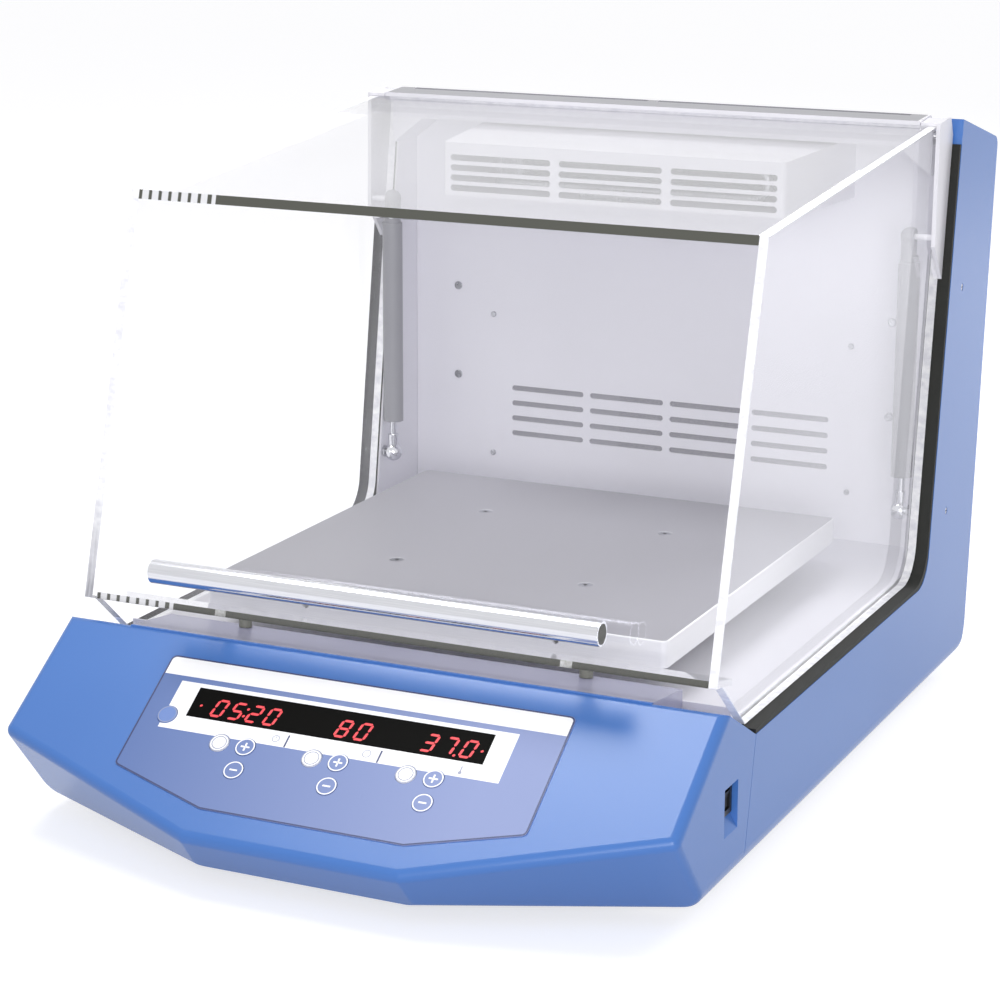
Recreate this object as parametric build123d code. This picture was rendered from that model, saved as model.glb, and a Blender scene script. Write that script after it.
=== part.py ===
from build123d import *
import os
from math import atan2, cos, radians, sin, tan

# Incubated benchtop shaker: a blue front housing with the controls, two L-shaped side panels,
# a white chamber with an orbiting platform, and a clear hood on gas springs.
# Sizes are millimetres. While it is built, Y runs backwards from the front crease, X is zero at
# the middle and Z is zero at the underside of the casing; export moves all of it onto the feet.

# ---------------------------------------------------------------- driving dimensions
width = 465.0                    # over both side panels
casing_depth = 679.2             # front crease to the upper rear corner of the side panels
casing_height = 418.0            # casing underside to the top of the hood hinge strip
foot_height = 12.0
spacer_reach = 15.8              # rear spacers behind the casing
fit_gap = 0.3                    # between pieces that move past each other
seat_gap = 0.1                   # between fixed pieces that lie on each other
running_gap = 0.05               # radial, shaft in bearing or bush
press_gap = 0.02                 # radial, bearing in its seat
sheet = 1.5                      # folded sheet metal

# front housing
wall = 3.0
crest_y, crest_z = 123.2, 111.3  # upper edge of the control slope
panel_slope, chin_slope = 34.2, 48.9   # degrees from level, above and below the front crease
crease_half = 73.8               # half length of the straight front crease
corner_y = 43.3                  # where the slope meets the side
chin_half = 75.4                 # half width of the underside at its front edge
flange_z = 82.8                  # top of the low side flanges
seam_top_y, seam_low_y = 174.0, 156.0
edge_round = 6.0
ledge_fall, ledge_inset = 6.5, 33.0    # ledge behind the crest: its fall, and how far it ends from the sides

# base; from here on a drop is measured down from the casing height, an inset forwards from its depth
pan_inset, pan_front_y, pan_thick, pan_lip = 0.6, 96.0, 2.0, 12.0
foot_x, foot_front_y, foot_rear_inset = 165.0, 130.0, 104.2
foot_radius, foot_recess, foot_recess_radius = 14.0, 5.0, 5.0

# side panels
side_depth = 15.5                # how far a side panel reaches inwards
side_skin = 2.5
arm_back_inset = 143.0           # inner corner of the L
post_top_inset, post_top_drop = 95.1, 3.3
rear_top_drop = 26.9
rear_low_inset = 37.7
corner_round, rear_low_round, rear_top_round = 25.0, 30.0, 8.0
under_round = 13.0               # rolled lower edge
seam_gap = 0.6
gasket_thick = 3.0
gasket_top_drop = 21.0
side_screw_radius = 2.6
high_screw_inset, high_screw_drop = 81.3, 126.9
low_screw_inset, low_screw_z = 98.9, 127.1

# rear cover
vent_drop, vent_pitch_x, vent_pitch_z, vent_long, vent_high = 96.0, 62.0, 12.0, 52.0, 4.2
spacer_x, spacer_drop, spacer_radius = 150.0, 56.0, 11.0
inlet_x, inlet_z = -140.0, 52.0
inlet_wide, inlet_high, inlet_deep, inlet_flange = 28.0, 22.0, 22.0, 11.0
supply_left, supply_right, supply_low, supply_high, supply_thick = -180.0, -40.0, 95.0, 205.0, 28.0

# chamber
floor_z = 88.0
front_rim = 9.0                  # upstand of the floor tray at its front
back_inset = 72.2                # back wall
header_reach = 41.0              # header ahead of the back wall
header_drop, header_top_drop = 23.0, 9.6
gusset_width, gusset_height = 26.0, 20.0
lower_slot_x, lower_slot_high, lower_slot_z = 61.5, 4.2, 141.1
lower_slot_pitch_x, lower_slot_pitch_z = 67.0, 12.2
outer_screw_x, outer_screw_high_z, outer_screw_low_z, outer_screw_radius = 178.3, 258.7, 186.9, 3.2
inner_screw_x, inner_screw_high_z, inner_screw_low_z, inner_screw_radius = 147.4, 238.0, 125.5, 2.2
screw_head_high = 1.6

# air box under the header, with the fan, the heater and the probe
box_reach, box_high, box_front_drop = 119.5, 44.9, 5.5
box_half, box_back_half = 133.0, 146.0
box_slot_x, box_slot_high, box_slot_rise = 80.7, 4.6, 5.7
box_slot_pitch_x, box_slot_pitch_z = 87.2, 7.5
fan_reach, fan_rise, fan_half, fan_radius, fan_disc, fan_shaft = 35.0, 20.9, 110.0, 15.0, 2.0, 3.0
blade_thick, blade_wide, blade_turn, blade_count = 1.2, 4.6, 24.0, 16
fan_bearing_thick, fan_motor_radius, fan_motor_long, fan_end_gap = 6.0, 13.0, 16.0, 2.0
heater_reach, heater_half, heater_leg, heater_radius, heater_bend = 82.0, 108.0, 30.0, 3.2, 10.0
heater_low, heater_high = 5.0, 27.0
probe_reach, probe_half, probe_radius, clip_half = 101.0, 30.0, 2.9, 4.0

# hood
cheek_gap = 0.4                  # cheek beside the side panels' inner faces
acrylic = 6.0
hood_ahead, hood_lift = 5.4, 12.4      # foot of the sloped front, from the crest
brow_y, brow_drop = 200.0, 31.3
hood_rear_drop = 3.1
chin_cut_back, chin_cut_drop = 8.9, 1.2
chin_foot_back = 5.0             # behind the upper end of the seam
lip_lift, lip_length, lip_thick, lip_slope, lip_bond = 2.4, 38.0, 4.2, 14.0, 0.5
bumper_x, bumper_radius, bumper_inset = 122.4, 4.3, 6.0
hinge_inset, hood_rear_ahead = 107.2, 6.0
barrel_radius, pin_radius = 4.6, 2.5
leaf_length, leaf_thick = 20.0, 2.2
knuckle_end, knuckle_mid = 14.0, 8.0   # of the hood at both ends and in the middle; the rail's fill the rest
ear_drop = 14.0                  # top of the hood's straight rear edge
strip_inset = 5.5
plate_foot_drop, plate_thick = 116.0, 3.0

# handle
handle_radius, handle_wall, handle_half = 7.8, 1.3, 156.7
handle_ahead, handle_lift = 19.2, 31.1     # axis, from the foot of the hood's front
handle_post_x, handle_post_radius, plug_long = 126.7, 4.0, 5.0
handle_screw_radius, handle_screw_head, handle_screw_high, handle_screw_bite = 2.0, 4.5, 2.6, 8.0

# gas springs
spring_inset = 10.0              # inside the side panels' inner faces
upper_ball_inset, upper_ball_drop = 131.2, 84.0
lower_ball_inset, lower_ball_z = 131.8, 132.5
ball_radius, stud_radius = 4.0, 2.2
socket_radius, socket_face = 7.0, 3.6     # cup of a ball joint, and how far out its open face lies
tube_radius, tube_bore, tube_end_gap, neck_radius = 7.75, 7.2, 25.5, 6.5
rod_radius, collar_radius, rod_end_gap = 2.5, 4.0, 35.5

# platform
platform_size, platform_top, platform_sheet, skirt_height, skirt_sheet = 334.0, 125.0, 3.0, 18.0, 2.0
platform_round, platform_edge = 4.0, 1.2
orbit = 10.0                     # radius of the shaking circle
rest_angle = 116.7               # where on that circle it is stored, degrees from +X
drive_y = 358.0
fixing_x, fixing_y = 142.0, 144.0
fixing_radius, fixing_head, fixing_sink, fixing_length = 2.5, 5.2, 2.8, 14.0
skirt_hole_spacing, skirt_hole_radius, skirt_hole_z = 182.0, 2.25, 115.5

# drive
column_radius, collar_thick = 14.0, 1.5
carrier_low_z, carrier_thick, carrier_size, carrier_corner = 68.0, 8.0, 250.0, 45.0
idler_circle = 118.0
frame_plate, frame_corner = 5.0, 30.0
frame_left, frame_right, frame_front, frame_rear = 130.0, 158.0, 80.0, 140.0
hub_radius, hub_top_z, hub_bearing_radius, hub_bearing_high = 22.0, 40.0, 16.0, 8.0
stand_radius, stand_top_z, idler_bearing_radius, idler_bearing_high = 14.0, 56.0, 9.0, 7.0
idler_bore_z = 30.0
crank_radius, crank_pin_radius, idler_radius, idler_pin_radius = 8.0, 6.0, 5.0, 4.0
web_low_z, web_thick, web_radius, lobe_radius = 55.0, 8.0, 20.0, 46.0
arm_low_z, arm_thick, arm_radius = 57.0, 7.0, 8.0
pulley_radius, motor_pulley_radius, pulley_rim, pulley_rim_thick = 45.0, 12.0, 2.0, 1.0
pulley_low_z, pulley_high = 41.0, 12.0
motor_x, motor_radius, motor_top_z, motor_shaft_radius = 120.0, 30.0, 38.0, 3.5
belt_width, belt_thick, belt_gap = 9.0, 2.0, 0.2

# controls, placed on the slope: across, and down from its crest
overlay_half, overlay_top, overlay_side, overlay_tip = 142.0, 19.0, 108.0, 129.7
overlay_tip_half, overlay_thick, overlay_round = 70.1, 0.6, 4.0
window_left, window_right, window_top, window_foot = -111.0, 96.5, 41.0, 64.1
key_radius, key_proud, key_travel, stem_radius = 6.6, 0.4, 0.5, 2.0
board_depth, board_thick = 10.0, 1.6
board_left, board_right, board_top, board_foot = -137.5, 132.5, 28.0, 108.0
standoff_inset, standoff_radius = 7.5, 3.5
key_places = {
    "key_hold": (-123.7, 65.4),
    "key_time": (-78.8, 80.0), "key_time_up": (-60.2, 80.0), "key_time_down": (-60.2, 98.1),
    "key_speed": (-13.3, 80.0), "key_speed_up": (5.0, 80.0), "key_speed_down": (5.0, 98.1),
    "key_heat": (51.4, 80.0), "key_heat_up": (70.1, 80.0), "key_heat_down": (70.1, 98.1),
}

# mains switch, in a pocket of the right side
pocket_y0, pocket_y1, pocket_z0, pocket_z1, pocket_depth = 121.0, 144.0, 33.0, 64.0, 5.3
pocket_floor_z = 42.4
switch_margin, switch_wall, switch_rim, switch_deep, rocker_tilt = 2.2, 1.6, 0.5, 20.0, 8.0
pivot_radius, pivot_long = 1.2, 0.8

# ---------------------------------------------------------------- worked out from them
half = width / 2
depth = casing_depth + spacer_reach
flange_x = half - side_depth
slope, chin_angle = radians(panel_slope), radians(chin_slope)
nose = edge_round * (cos((slope - chin_angle) / 2) / sin((slope + chin_angle) / 2) - 1)
crease_y = -nose                 # the crease before it is rounded; the rounded one lies at zero
crease_z = crest_z - (crest_y - crease_y) * tan(slope)
chin_y = crease_y + crease_z / tan(chin_angle)
corner_z = crest_z - (crest_y - corner_y) * tan(slope)
ledge_back_y, ledge_back_z = seam_top_y - fit_gap, crest_z - ledge_fall
ledge_lean = ledge_fall / (ledge_back_y - crest_y)
ledge_half = flange_x - ledge_inset
pan_half = flange_x - pan_inset

arm_back_y = casing_depth - arm_back_inset
post_top_y, post_top_z = casing_depth - post_top_inset, casing_height - post_top_drop
rear_top_z = casing_height - rear_top_drop
rear_low_y = casing_depth - rear_low_inset
rear_foot_y = rear_low_y - rear_low_round - 12.0     # folded foot of the rear cover
post_lean = (post_top_y - arm_back_y) / (post_top_z - flange_z)
rear_fall = (post_top_z - rear_top_z) / (casing_depth - post_top_y)
gasket_top_z = casing_height - gasket_top_drop
side_screws = ((casing_depth - high_screw_inset, casing_height - high_screw_drop),
               (casing_depth - low_screw_inset, low_screw_z))

back_y = casing_depth - back_inset
header_y = back_y - header_reach
header_z, header_top_z = casing_height - header_drop, casing_height - header_top_drop
chamber_front_y = seam_top_y + seam_gap
box_front_y = back_y - box_reach
box_low_z, box_top_z = header_z - box_high, header_z - box_front_drop

hood_half = flange_x + cheek_gap + acrylic
hinge_y, hinge_z = casing_depth - hinge_inset, casing_height - barrel_radius
hood_front_y, hood_front_z = crest_y + hood_ahead, crest_z + hood_lift
brow_z = casing_height - brow_drop
hood_rear_y, hood_rear_z = hinge_y - hood_rear_ahead, casing_height - hood_rear_drop
chin_cut_y, chin_cut_z = hood_front_y + chin_cut_back, hood_front_z - chin_cut_drop
front_lean = (brow_y - hood_front_y) / (brow_z - hood_front_z)
top_rise = (hood_rear_z - brow_z) / (hood_rear_y - brow_y)
front_thick = acrylic * (1 + front_lean ** 2) ** 0.5      # of the sloped front, measured along Y
lip_y, lip_z = hood_front_y + front_thick - lip_bond, hood_front_z + lip_lift
ear_z = casing_height - ear_drop
strip_half = flange_x - strip_inset
plate_foot_z = casing_height - plate_foot_drop
handle_y, handle_z = hood_front_y - handle_ahead, hood_front_z + handle_lift

spring_x = flange_x - spring_inset
upper_ball_y, upper_ball_z = casing_depth - upper_ball_inset, casing_height - upper_ball_drop
lower_ball_y = casing_depth - lower_ball_inset

shift_x, shift_y = orbit * cos(radians(rest_angle)), orbit * sin(radians(rest_angle))
drive_x = 0.0
platform_x, platform_y = drive_x + shift_x, drive_y + shift_y
carrier_top_z = carrier_low_z + carrier_thick
frame_top_z = pan_thick + frame_plate
control_plane = Plane(origin=(0, crest_y, crest_z), x_dir=(1, 0, 0), z_dir=(0, -sin(slope), cos(slope)))

pieces = {}


# ---------------------------------------------------------------- small helpers
def block(x0, x1, y0, y1, z0, z1):
    """box between two corners"""
    centre = Pos((x0 + x1) / 2, (y0 + y1) / 2, (z0 + z1) / 2)
    return centre * Box(abs(x1 - x0), abs(y1 - y0), abs(z1 - z0))


def rod(start, end, radius):
    """round bar from one point to another"""
    start, end = Vector(*start), Vector(*end)
    return Solid.make_cylinder(radius, (end - start).length, Plane(origin=start, z_dir=end - start))


def upright(x, y, z0, z1, radius):
    """round bar standing at a place in plan"""
    return rod((x, y, z0), (x, y, z1), radius)


def outline(points, rounds=None):
    """closed flat outline, with some of its corners rounded: {corner number: radius}"""
    face = make_face(Polyline(*points, close=True)).face()
    for number, radius in (rounds or {}).items():
        corner = face.vertices().sort_by_distance(Vector(*points[number]))[0]
        face = face.fillet_2d(radius, [corner])
    return face


def across(face, x0, x1):
    """side-view outline (y, z) carried across from x0 to x1"""
    return extrude(Plane.YZ.offset(x0) * face, x1 - x0)


def along(face, y0, y1):
    """front-view outline (x, z) carried backwards from y0 to y1"""
    return extrude(Plane.XZ.offset(-y0) * face, -(y1 - y0))


def upwards(face, z0, z1):
    """plan outline (x, y) carried up from z0 to z1"""
    return extrude(Plane.XY.offset(z0) * face, z1 - z0)


def trimmed(shape, planes, inset=0.0):
    """cut a shape by planes (point, outward direction), each moved inwards by the inset"""
    for point, outward in planes:
        outward = Vector(*outward).normalized()
        cut = Plane(origin=Vector(*point) - outward * inset, z_dir=outward)
        shape = split(shape, bisect_by=cut, keep=Keep.BOTTOM)
    return shape


def ball(x, y, z, radius):
    """ball with its poles on the X axis"""
    return Pos(x, y, z) * Rot(0, 90, 0) * Sphere(radius)


def both_sides(shape):
    """the shape and its mirror image, as two solids"""
    return [shape, mirror(shape, about=Plane.YZ)]


def on_panel(shape):
    return control_plane * shape


def keep(name, *shapes):
    """store one named piece, made of one or more separate solids"""
    solids = []
    for shape in shapes:
        solids += shape.solids()
    pieces[name] = solids


# ---------------------------------------------------------------- front housing
def front_planes():
    corner = Vector(half, corner_y, corner_z)
    crease = Vector(crease_half, crease_y, crease_z)
    chin = Vector(chin_half, chin_y, 0)
    right = (chin - crease).cross(corner - crease)
    seam_lean = seam_top_y - seam_low_y
    return [
        ((0, crest_y, crest_z), (0, -sin(slope), cos(slope))),
        ((0, crest_y, crest_z), (0, crest_z - flange_z, seam_top_y - crest_y)),
        ((0, crease_y, crease_z), (0, -crease_z, crease_y - chin_y)),
        (tuple(crease), (right.X, right.Y, right.Z)),
        ((-crease.X, crease.Y, crease.Z), (-right.X, right.Y, right.Z)),
        ((half, 0, 0), (1, 0, 0)),
        ((-half, 0, 0), (-1, 0, 0)),
        ((0, 0, 0), (0, 0, -1)),
    ], [((0, seam_low_y, 0), (0, flange_z, -seam_lean))]


def make_front_housing():
    form, seam = front_planes()
    raw = block(-half - 20, half + 20, -20, seam_top_y + 40, -20, crest_z + 20)
    outer = trimmed(raw, form + seam)
    rolled = [edge for edge in outer.edges()
              if abs(abs(edge.center().X) - half) < 1 and abs(edge.center().Z) < 1]
    outer = fillet(rolled, under_round)
    sharp = [edge for edge in outer.edges()
             if edge.center().Y < seam_low_y - 8 and edge.center().Z > 8 and edge.geom_type == GeomType.LINE]
    outer = fillet(sharp, edge_round)
    ledge = [(crest_y, crest_z), (ledge_back_y, ledge_back_z),
             (ledge_back_y, ledge_back_z - 8 * wall), (crest_y, crest_z - 4 * wall)]
    ledge_inner = [(crest_y, crest_z - 1.5 * wall), (ledge_back_y - wall, ledge_back_z - 1.1 * wall),
                   (ledge_back_y - wall, ledge_back_z - 14 * wall), (crest_y, crest_z - 14 * wall)]
    outer = outer + across(outline(ledge), -ledge_half, ledge_half)
    inner = trimmed(raw, form, wall) + across(outline(ledge_inner), wall - ledge_half, ledge_half - wall)
    boss = block(half - pocket_depth - wall, half - 1, pocket_y0 - wall, pocket_y1 + wall,
                 pocket_z0 - wall, pocket_z1 + wall)
    housing = outer - inner + boss
    housing -= pocket_cavity()
    housing -= switch_hole(0.0, half - pocket_depth - 2 * wall, half)
    housing -= block(-pan_half - fit_gap, pan_half + fit_gap, pan_front_y - fit_gap,
                     seam_top_y + 20, -1, wall + 1)
    for x, down in standoff_places():
        boss = rod((x, -down, 0.5 - wall), (x, -down, seat_gap - board_depth), standoff_radius)
        housing += on_panel(boss)
    housing -= on_panel(Pos((window_left + window_right) / 2, -(window_top + window_foot) / 2, -wall)
                        * Box(window_right - window_left + 1, window_foot - window_top + 1, 3 * wall))
    for x, down in key_places.values():
        housing -= on_panel(rod((x, -down, -2 * wall), (x, -down, wall), key_radius + 2 * fit_gap))
    keep("front_housing", housing)


def standoff_places():
    """four bosses that carry the control board, inside its corners"""
    return [(x, down) for x in (board_left + standoff_inset, board_right - standoff_inset)
            for down in (board_top + standoff_inset, board_foot - standoff_inset)]


def pocket_cavity():
    """finger pocket with a ramp below the switch"""
    profile = [(half + 1, pocket_z0), (half, pocket_z0), (half - pocket_depth, pocket_floor_z),
               (half - pocket_depth, pocket_z1), (half + 1, pocket_z1)]
    return along(outline(profile), pocket_y0, pocket_y1)


def switch_hole(grow, x0, x1):
    return block(x0, x1, pocket_y0 + switch_margin - grow, pocket_y1 - switch_margin + grow,
                 pocket_floor_z + switch_margin - grow, pocket_z1 - switch_margin + grow)


def make_switch():
    floor_x = half - pocket_depth
    rim = block(floor_x, floor_x + sheet, pocket_y0 + switch_rim, pocket_y1 - switch_rim,
                pocket_floor_z + switch_rim, pocket_z1 - switch_rim)
    body = switch_hole(-2 * seat_gap, floor_x - switch_deep, floor_x + switch_rim)
    cavity = switch_hole(-switch_wall, floor_x - 9, floor_x + 3)
    middle_y = (pocket_y0 + pocket_y1) / 2
    middle_z = (pocket_floor_z + pocket_z1) / 2
    tall = (pocket_z1 - pocket_floor_z) / 2 - switch_margin - switch_wall - 1.3
    wide = (pocket_y1 - pocket_y0) / 2 - switch_margin - switch_wall - fit_gap
    profile = [(-3, -tall + 2), (5.4, -tall), (4.6, 0), (5.4, tall), (-3, tall - 2)]
    rocker = along(outline(profile), middle_y - wide, middle_y + wide)
    pivot_x, reach = floor_x - 4.5, wide + pivot_long
    rocker = Pos(pivot_x, 0, middle_z) * Rot(0, rocker_tilt, 0) * rocker
    rocker += rod((pivot_x, middle_y - reach, middle_z), (pivot_x, middle_y + reach, middle_z), pivot_radius)
    keep("switch_rocker", rocker)
    reach += fit_gap
    sockets = rod((pivot_x, middle_y - reach, middle_z), (pivot_x, middle_y + reach, middle_z),
                  pivot_radius + running_gap)
    keep("power_switch", rim + body - cavity - sockets)


# ---------------------------------------------------------------- controls on the slope
def make_controls():
    wide, tip = overlay_half, overlay_tip_half
    shape = [(-wide, -overlay_top), (wide, -overlay_top), (wide, -overlay_side),
             (tip, -overlay_tip), (-tip, -overlay_tip), (-wide, -overlay_side)]
    face = outline(shape, {0: overlay_round, 1: overlay_round, 2: overlay_round, 5: overlay_round})
    film = extrude(face, overlay_thick)
    window = Pos((window_left + window_right) / 2, -(window_top + window_foot) / 2, 0)
    window_x, window_y = window_right - window_left, window_foot - window_top
    film -= window * Box(window_x, window_y, 5)
    for x, down in key_places.values():
        film -= rod((x, -down, -1), (x, -down, 2), key_radius + fit_gap)
    keep("control_overlay", on_panel(film))
    module = extrude(window * Rectangle(window_x - seat_gap, window_y - seat_gap), overlay_thick)
    module += extrude(window * Rectangle(window_x - seat_gap, window_y - seat_gap), -board_depth)
    keep("display_module", on_panel(module))
    board = block(board_left, board_right, -board_foot, -board_top, -board_depth - board_thick, -board_depth)
    keep("control_board", on_panel(board))
    for name, (x, down) in key_places.items():
        cap = rod((x, -down, -1), (x, -down, overlay_thick + key_proud), key_radius)
        stem = rod((x, -down, 0), (x, -down, -board_depth + key_travel + 2 * seat_gap), stem_radius)
        keep(name, on_panel(cap + stem))


# ---------------------------------------------------------------- side panels and their gaskets
def side_points(inset=0.0):
    """L-shaped side outline, each edge moved inwards by the inset"""
    seam_lean = (seam_top_y - seam_low_y) / flange_z
    front = seam_low_y + seam_gap + inset
    rear_lean = rear_low_inset / rear_top_z
    low, arm = inset, flange_z - inset
    post = arm_back_y + inset
    top_y = post + (post_top_z - flange_z - inset) * post_lean + inset * 0.2
    return [(front + low * seam_lean, low), (front + arm * seam_lean, arm),
            (post - inset * post_lean, arm), (top_y, post_top_z - inset),
            (casing_depth - inset, rear_top_z - inset * (1 + rear_fall * 0.2)),
            (rear_low_y - inset + low * rear_lean, low)]


def make_side_panels():
    rounds = {2: corner_round, 4: rear_top_round, 5: rear_low_round}
    outer = across(outline(side_points(), rounds), flange_x, half)
    rounds = {2: corner_round + side_skin, 4: rear_top_round - side_skin, 5: rear_low_round - side_skin}
    inner = across(outline(side_points(side_skin), rounds), flange_x - 1, half - side_skin)
    rolled = [(0, 0), (half, 0), (half, casing_height), (0, casing_height)]
    outer &= along(outline(rolled, {1: under_round}), 0, depth)
    rolled = [(0, side_skin), (half - side_skin, side_skin), (half - side_skin, casing_height),
              (0, casing_height)]
    inner &= along(outline(rolled, {1: under_round - side_skin}), 0, depth)
    panel = outer - inner
    for y, z in side_screws:
        panel -= rod((half - 2 * side_skin, y, z), (half + 1, y, z), side_screw_radius + seat_gap)
    right, left = both_sides(panel)
    keep("side_panel_right", right)
    keep("side_panel_left", left)


def post_line(z, ahead=0.0):
    """y of the leaning front edge of the rear post, moved forwards by some thickness"""
    return arm_back_y + (z - flange_z) * post_lean - ahead


def make_gaskets():
    thick, front, low_z = gasket_thick, seam_top_y + seam_gap, flange_z + seat_gap
    shape = [(front, low_z), (post_line(flange_z, seat_gap), low_z),
             (post_line(gasket_top_z, seat_gap), gasket_top_z),
             (post_line(gasket_top_z, thick), gasket_top_z),
             (post_line(flange_z + thick, thick), flange_z + thick), (front, flange_z + thick)]
    seal = across(outline(shape, {1: corner_round, 4: corner_round + thick}), flange_x, half - 0.4)
    keep("hood_gaskets", *both_sides(seal))


# ---------------------------------------------------------------- base, rear and top
def make_base():
    pan = block(-pan_half, pan_half, pan_front_y, rear_foot_y - seat_gap, 0, pan_thick)
    pan += block(-pan_half, pan_half, pan_front_y, pan_front_y + pan_thick, 0, pan_lip)
    keep("base_pan", pan)
    feet = []
    for x in (-foot_x, foot_x):
        for y in (foot_front_y, casing_depth - foot_rear_inset):
            foot = rod((x, y, -foot_height), (x, y, 0), foot_radius)
            foot = chamfer(foot.edges().group_by(Axis.Z)[0], 2)
            feet.append(foot - rod((x, y, -foot_height - 1), (x, y, foot_recess - foot_height),
                                   foot_recess_radius))
    keep("feet", *feet)


def rear_line(z, inside=0.0):
    return rear_low_y + z * rear_low_inset / rear_top_z - inside


def rear_plane(x, z):
    """flat frame on the rear face: X to the right as seen from the front, Y up, Z out of the back"""
    lean = atan2(rear_low_inset, rear_top_z)
    return Plane(origin=(x, rear_line(z, 0.5), z), x_dir=(1, 0, 0), z_dir=(0, cos(lean), -sin(lean)))


def make_rear():
    cover_half = flange_x - fit_gap
    high = rear_top_z - 2.5

    def skin(inset, reach):
        shape = [(rear_foot_y - reach, inset), (rear_line(inset, 0.5 + inset), inset),
                 (rear_line(high + reach, 0.5 + inset), high + reach), (rear_foot_y - reach, high + reach)]
        return across(outline(shape, {1: rear_low_round - inset}), -cover_half, cover_half)

    cover = skin(0.0, 0) - skin(sheet, 1)
    for column in range(4):
        for row in range(7):
            place = rear_plane((column - 1.5) * vent_pitch_x, casing_height - vent_drop - row * vent_pitch_z)
            cover -= place * extrude(SlotOverall(vent_long, vent_high), 10, both=True)
    cover -= rear_plane(inlet_x, inlet_z) * Box(inlet_wide + 1, inlet_high + 1, 20)
    keep("rear_cover", cover)
    start, back = hinge_y + barrel_radius + sheet, casing_depth - 1
    top = [(start, post_top_z), (post_top_y, post_top_z), (back, rear_top_z + rear_fall),
           (back, rear_top_z + rear_fall - sheet), (post_top_y, post_top_z - sheet),
           (start, post_top_z - sheet)]
    keep("top_cover", across(outline(top), -cover_half, cover_half))
    spacers = []
    for x in (-spacer_x, spacer_x):
        place = rear_plane(x, casing_height - spacer_drop)
        reach = (depth - place.origin.Y) / place.z_dir.Y
        bumper = place * extrude(Circle(spacer_radius), reach + 4)
        spacers.append(trimmed(bumper, [((0, depth, 0), (0, 1, 0))]))
    keep("rear_spacers", *spacers)


def make_inlet():
    flange = Pos(0, 0, 1) * Box(inlet_wide + 2 * inlet_flange, inlet_high + 4, 2)
    shroud = Pos(0, 0, 1 - inlet_deep / 2) * Box(inlet_wide, inlet_high, inlet_deep)
    mouth = Pos(0, 0, 3 - (inlet_deep - 4) / 2) * Box(inlet_wide - 4, inlet_high - 5, inlet_deep - 4)
    socket = flange + shroud - mouth
    for x, y in ((-7, -2.5), (7, -2.5), (0, 2.5)):
        socket += Pos(x, y, 4.5 - inlet_deep + 6) * Box(2, 4, 12)
    keep("mains_inlet", rear_plane(inlet_x, inlet_z) * socket)


# ---------------------------------------------------------------- chamber
def make_chamber():
    inner_half = flange_x - 1.6
    front_y = chamber_front_y
    tray = block(-inner_half, inner_half, front_y, back_y - seat_gap, pan_thick, floor_z)
    tray -= block(sheet - inner_half, inner_half - sheet, front_y + sheet, back_y + 9, 1, floor_z - sheet)
    tray += block(-inner_half, inner_half, front_y, front_y + sheet, floor_z, floor_z + front_rim)
    for x in (drive_x - fixing_x / 2, drive_x + fixing_x / 2):
        for y in (drive_y - fixing_y / 2, drive_y + fixing_y / 2):
            tray -= rod((x, y, floor_z - 9), (x, y, floor_z + 9), column_radius + orbit + 4)
    keep("chamber_floor", tray)

    wall_low = floor_z - 28
    side = [(post_line(wall_low, 2), wall_low), (post_line(header_top_z, 2), header_top_z),
            (back_y - 9, header_top_z), (back_y + sheet, header_top_z - 4), (back_y + sheet, wall_low)]
    keep("chamber_walls", *both_sides(across(outline(side), flange_x - sheet, flange_x)))

    back_half = flange_x - sheet - 2 * seat_gap
    back = block(-back_half, back_half, back_y, back_y + sheet, floor_z, header_z + sheet)
    back += block(-back_half, back_half, header_y, back_y + sheet, header_z, header_z + sheet)
    back += block(-back_half, back_half, header_y, header_y + sheet, header_z, header_top_z)
    back += block(-back_half, back_half, header_y, back_y - 9, header_top_z - sheet, header_top_z)
    gusset = [(back_half - gusset_width, header_z + 0.5), (back_half, header_z + 0.5),
              (back_half, header_z - gusset_height)]
    for corner in both_sides(along(outline(gusset), header_y, back_y + 0.5)):
        back += corner
    for column in range(4):
        for row in range(4):
            x = (column - 1.5) * lower_slot_pitch_x
            z = lower_slot_z + lower_slot_high / 2 + row * lower_slot_pitch_z
            slot = Plane.XZ.offset(-back_y) * Pos(x, z) * SlotOverall(lower_slot_x, lower_slot_high)
            back -= extrude(slot, 5, both=True)
    back -= block(-box_half + 15, box_half - 15, back_y - 5, back_y + 5, box_low_z + 6, box_top_z - 4)
    keep("chamber_back", back)


def make_air_box():
    rise = (header_z - seat_gap - box_top_z) / (back_y - box_front_y)

    def hull(inset):
        plan = [(-box_half + inset, box_front_y + inset), (box_half - inset, box_front_y + inset),
                (box_back_half - inset, back_y), (inset - box_back_half, back_y)]
        solid = upwards(outline(plan, {0: 4, 1: 4}), box_low_z + inset, header_z)
        return trimmed(solid, [((0, box_front_y, box_top_z), (0, -rise, 1))], inset)

    cover = hull(0) - hull(sheet)
    for column in range(3):
        for row in range(4):
            x = (column - 1) * box_slot_pitch_x
            z = box_low_z + box_slot_rise + row * box_slot_pitch_z
            slot = Plane.XZ.offset(-box_front_y) * Pos(x, z) * SlotOverall(box_slot_x, box_slot_high)
            cover -= extrude(slot, 5, both=True)
    keep("air_box", cover)


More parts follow.
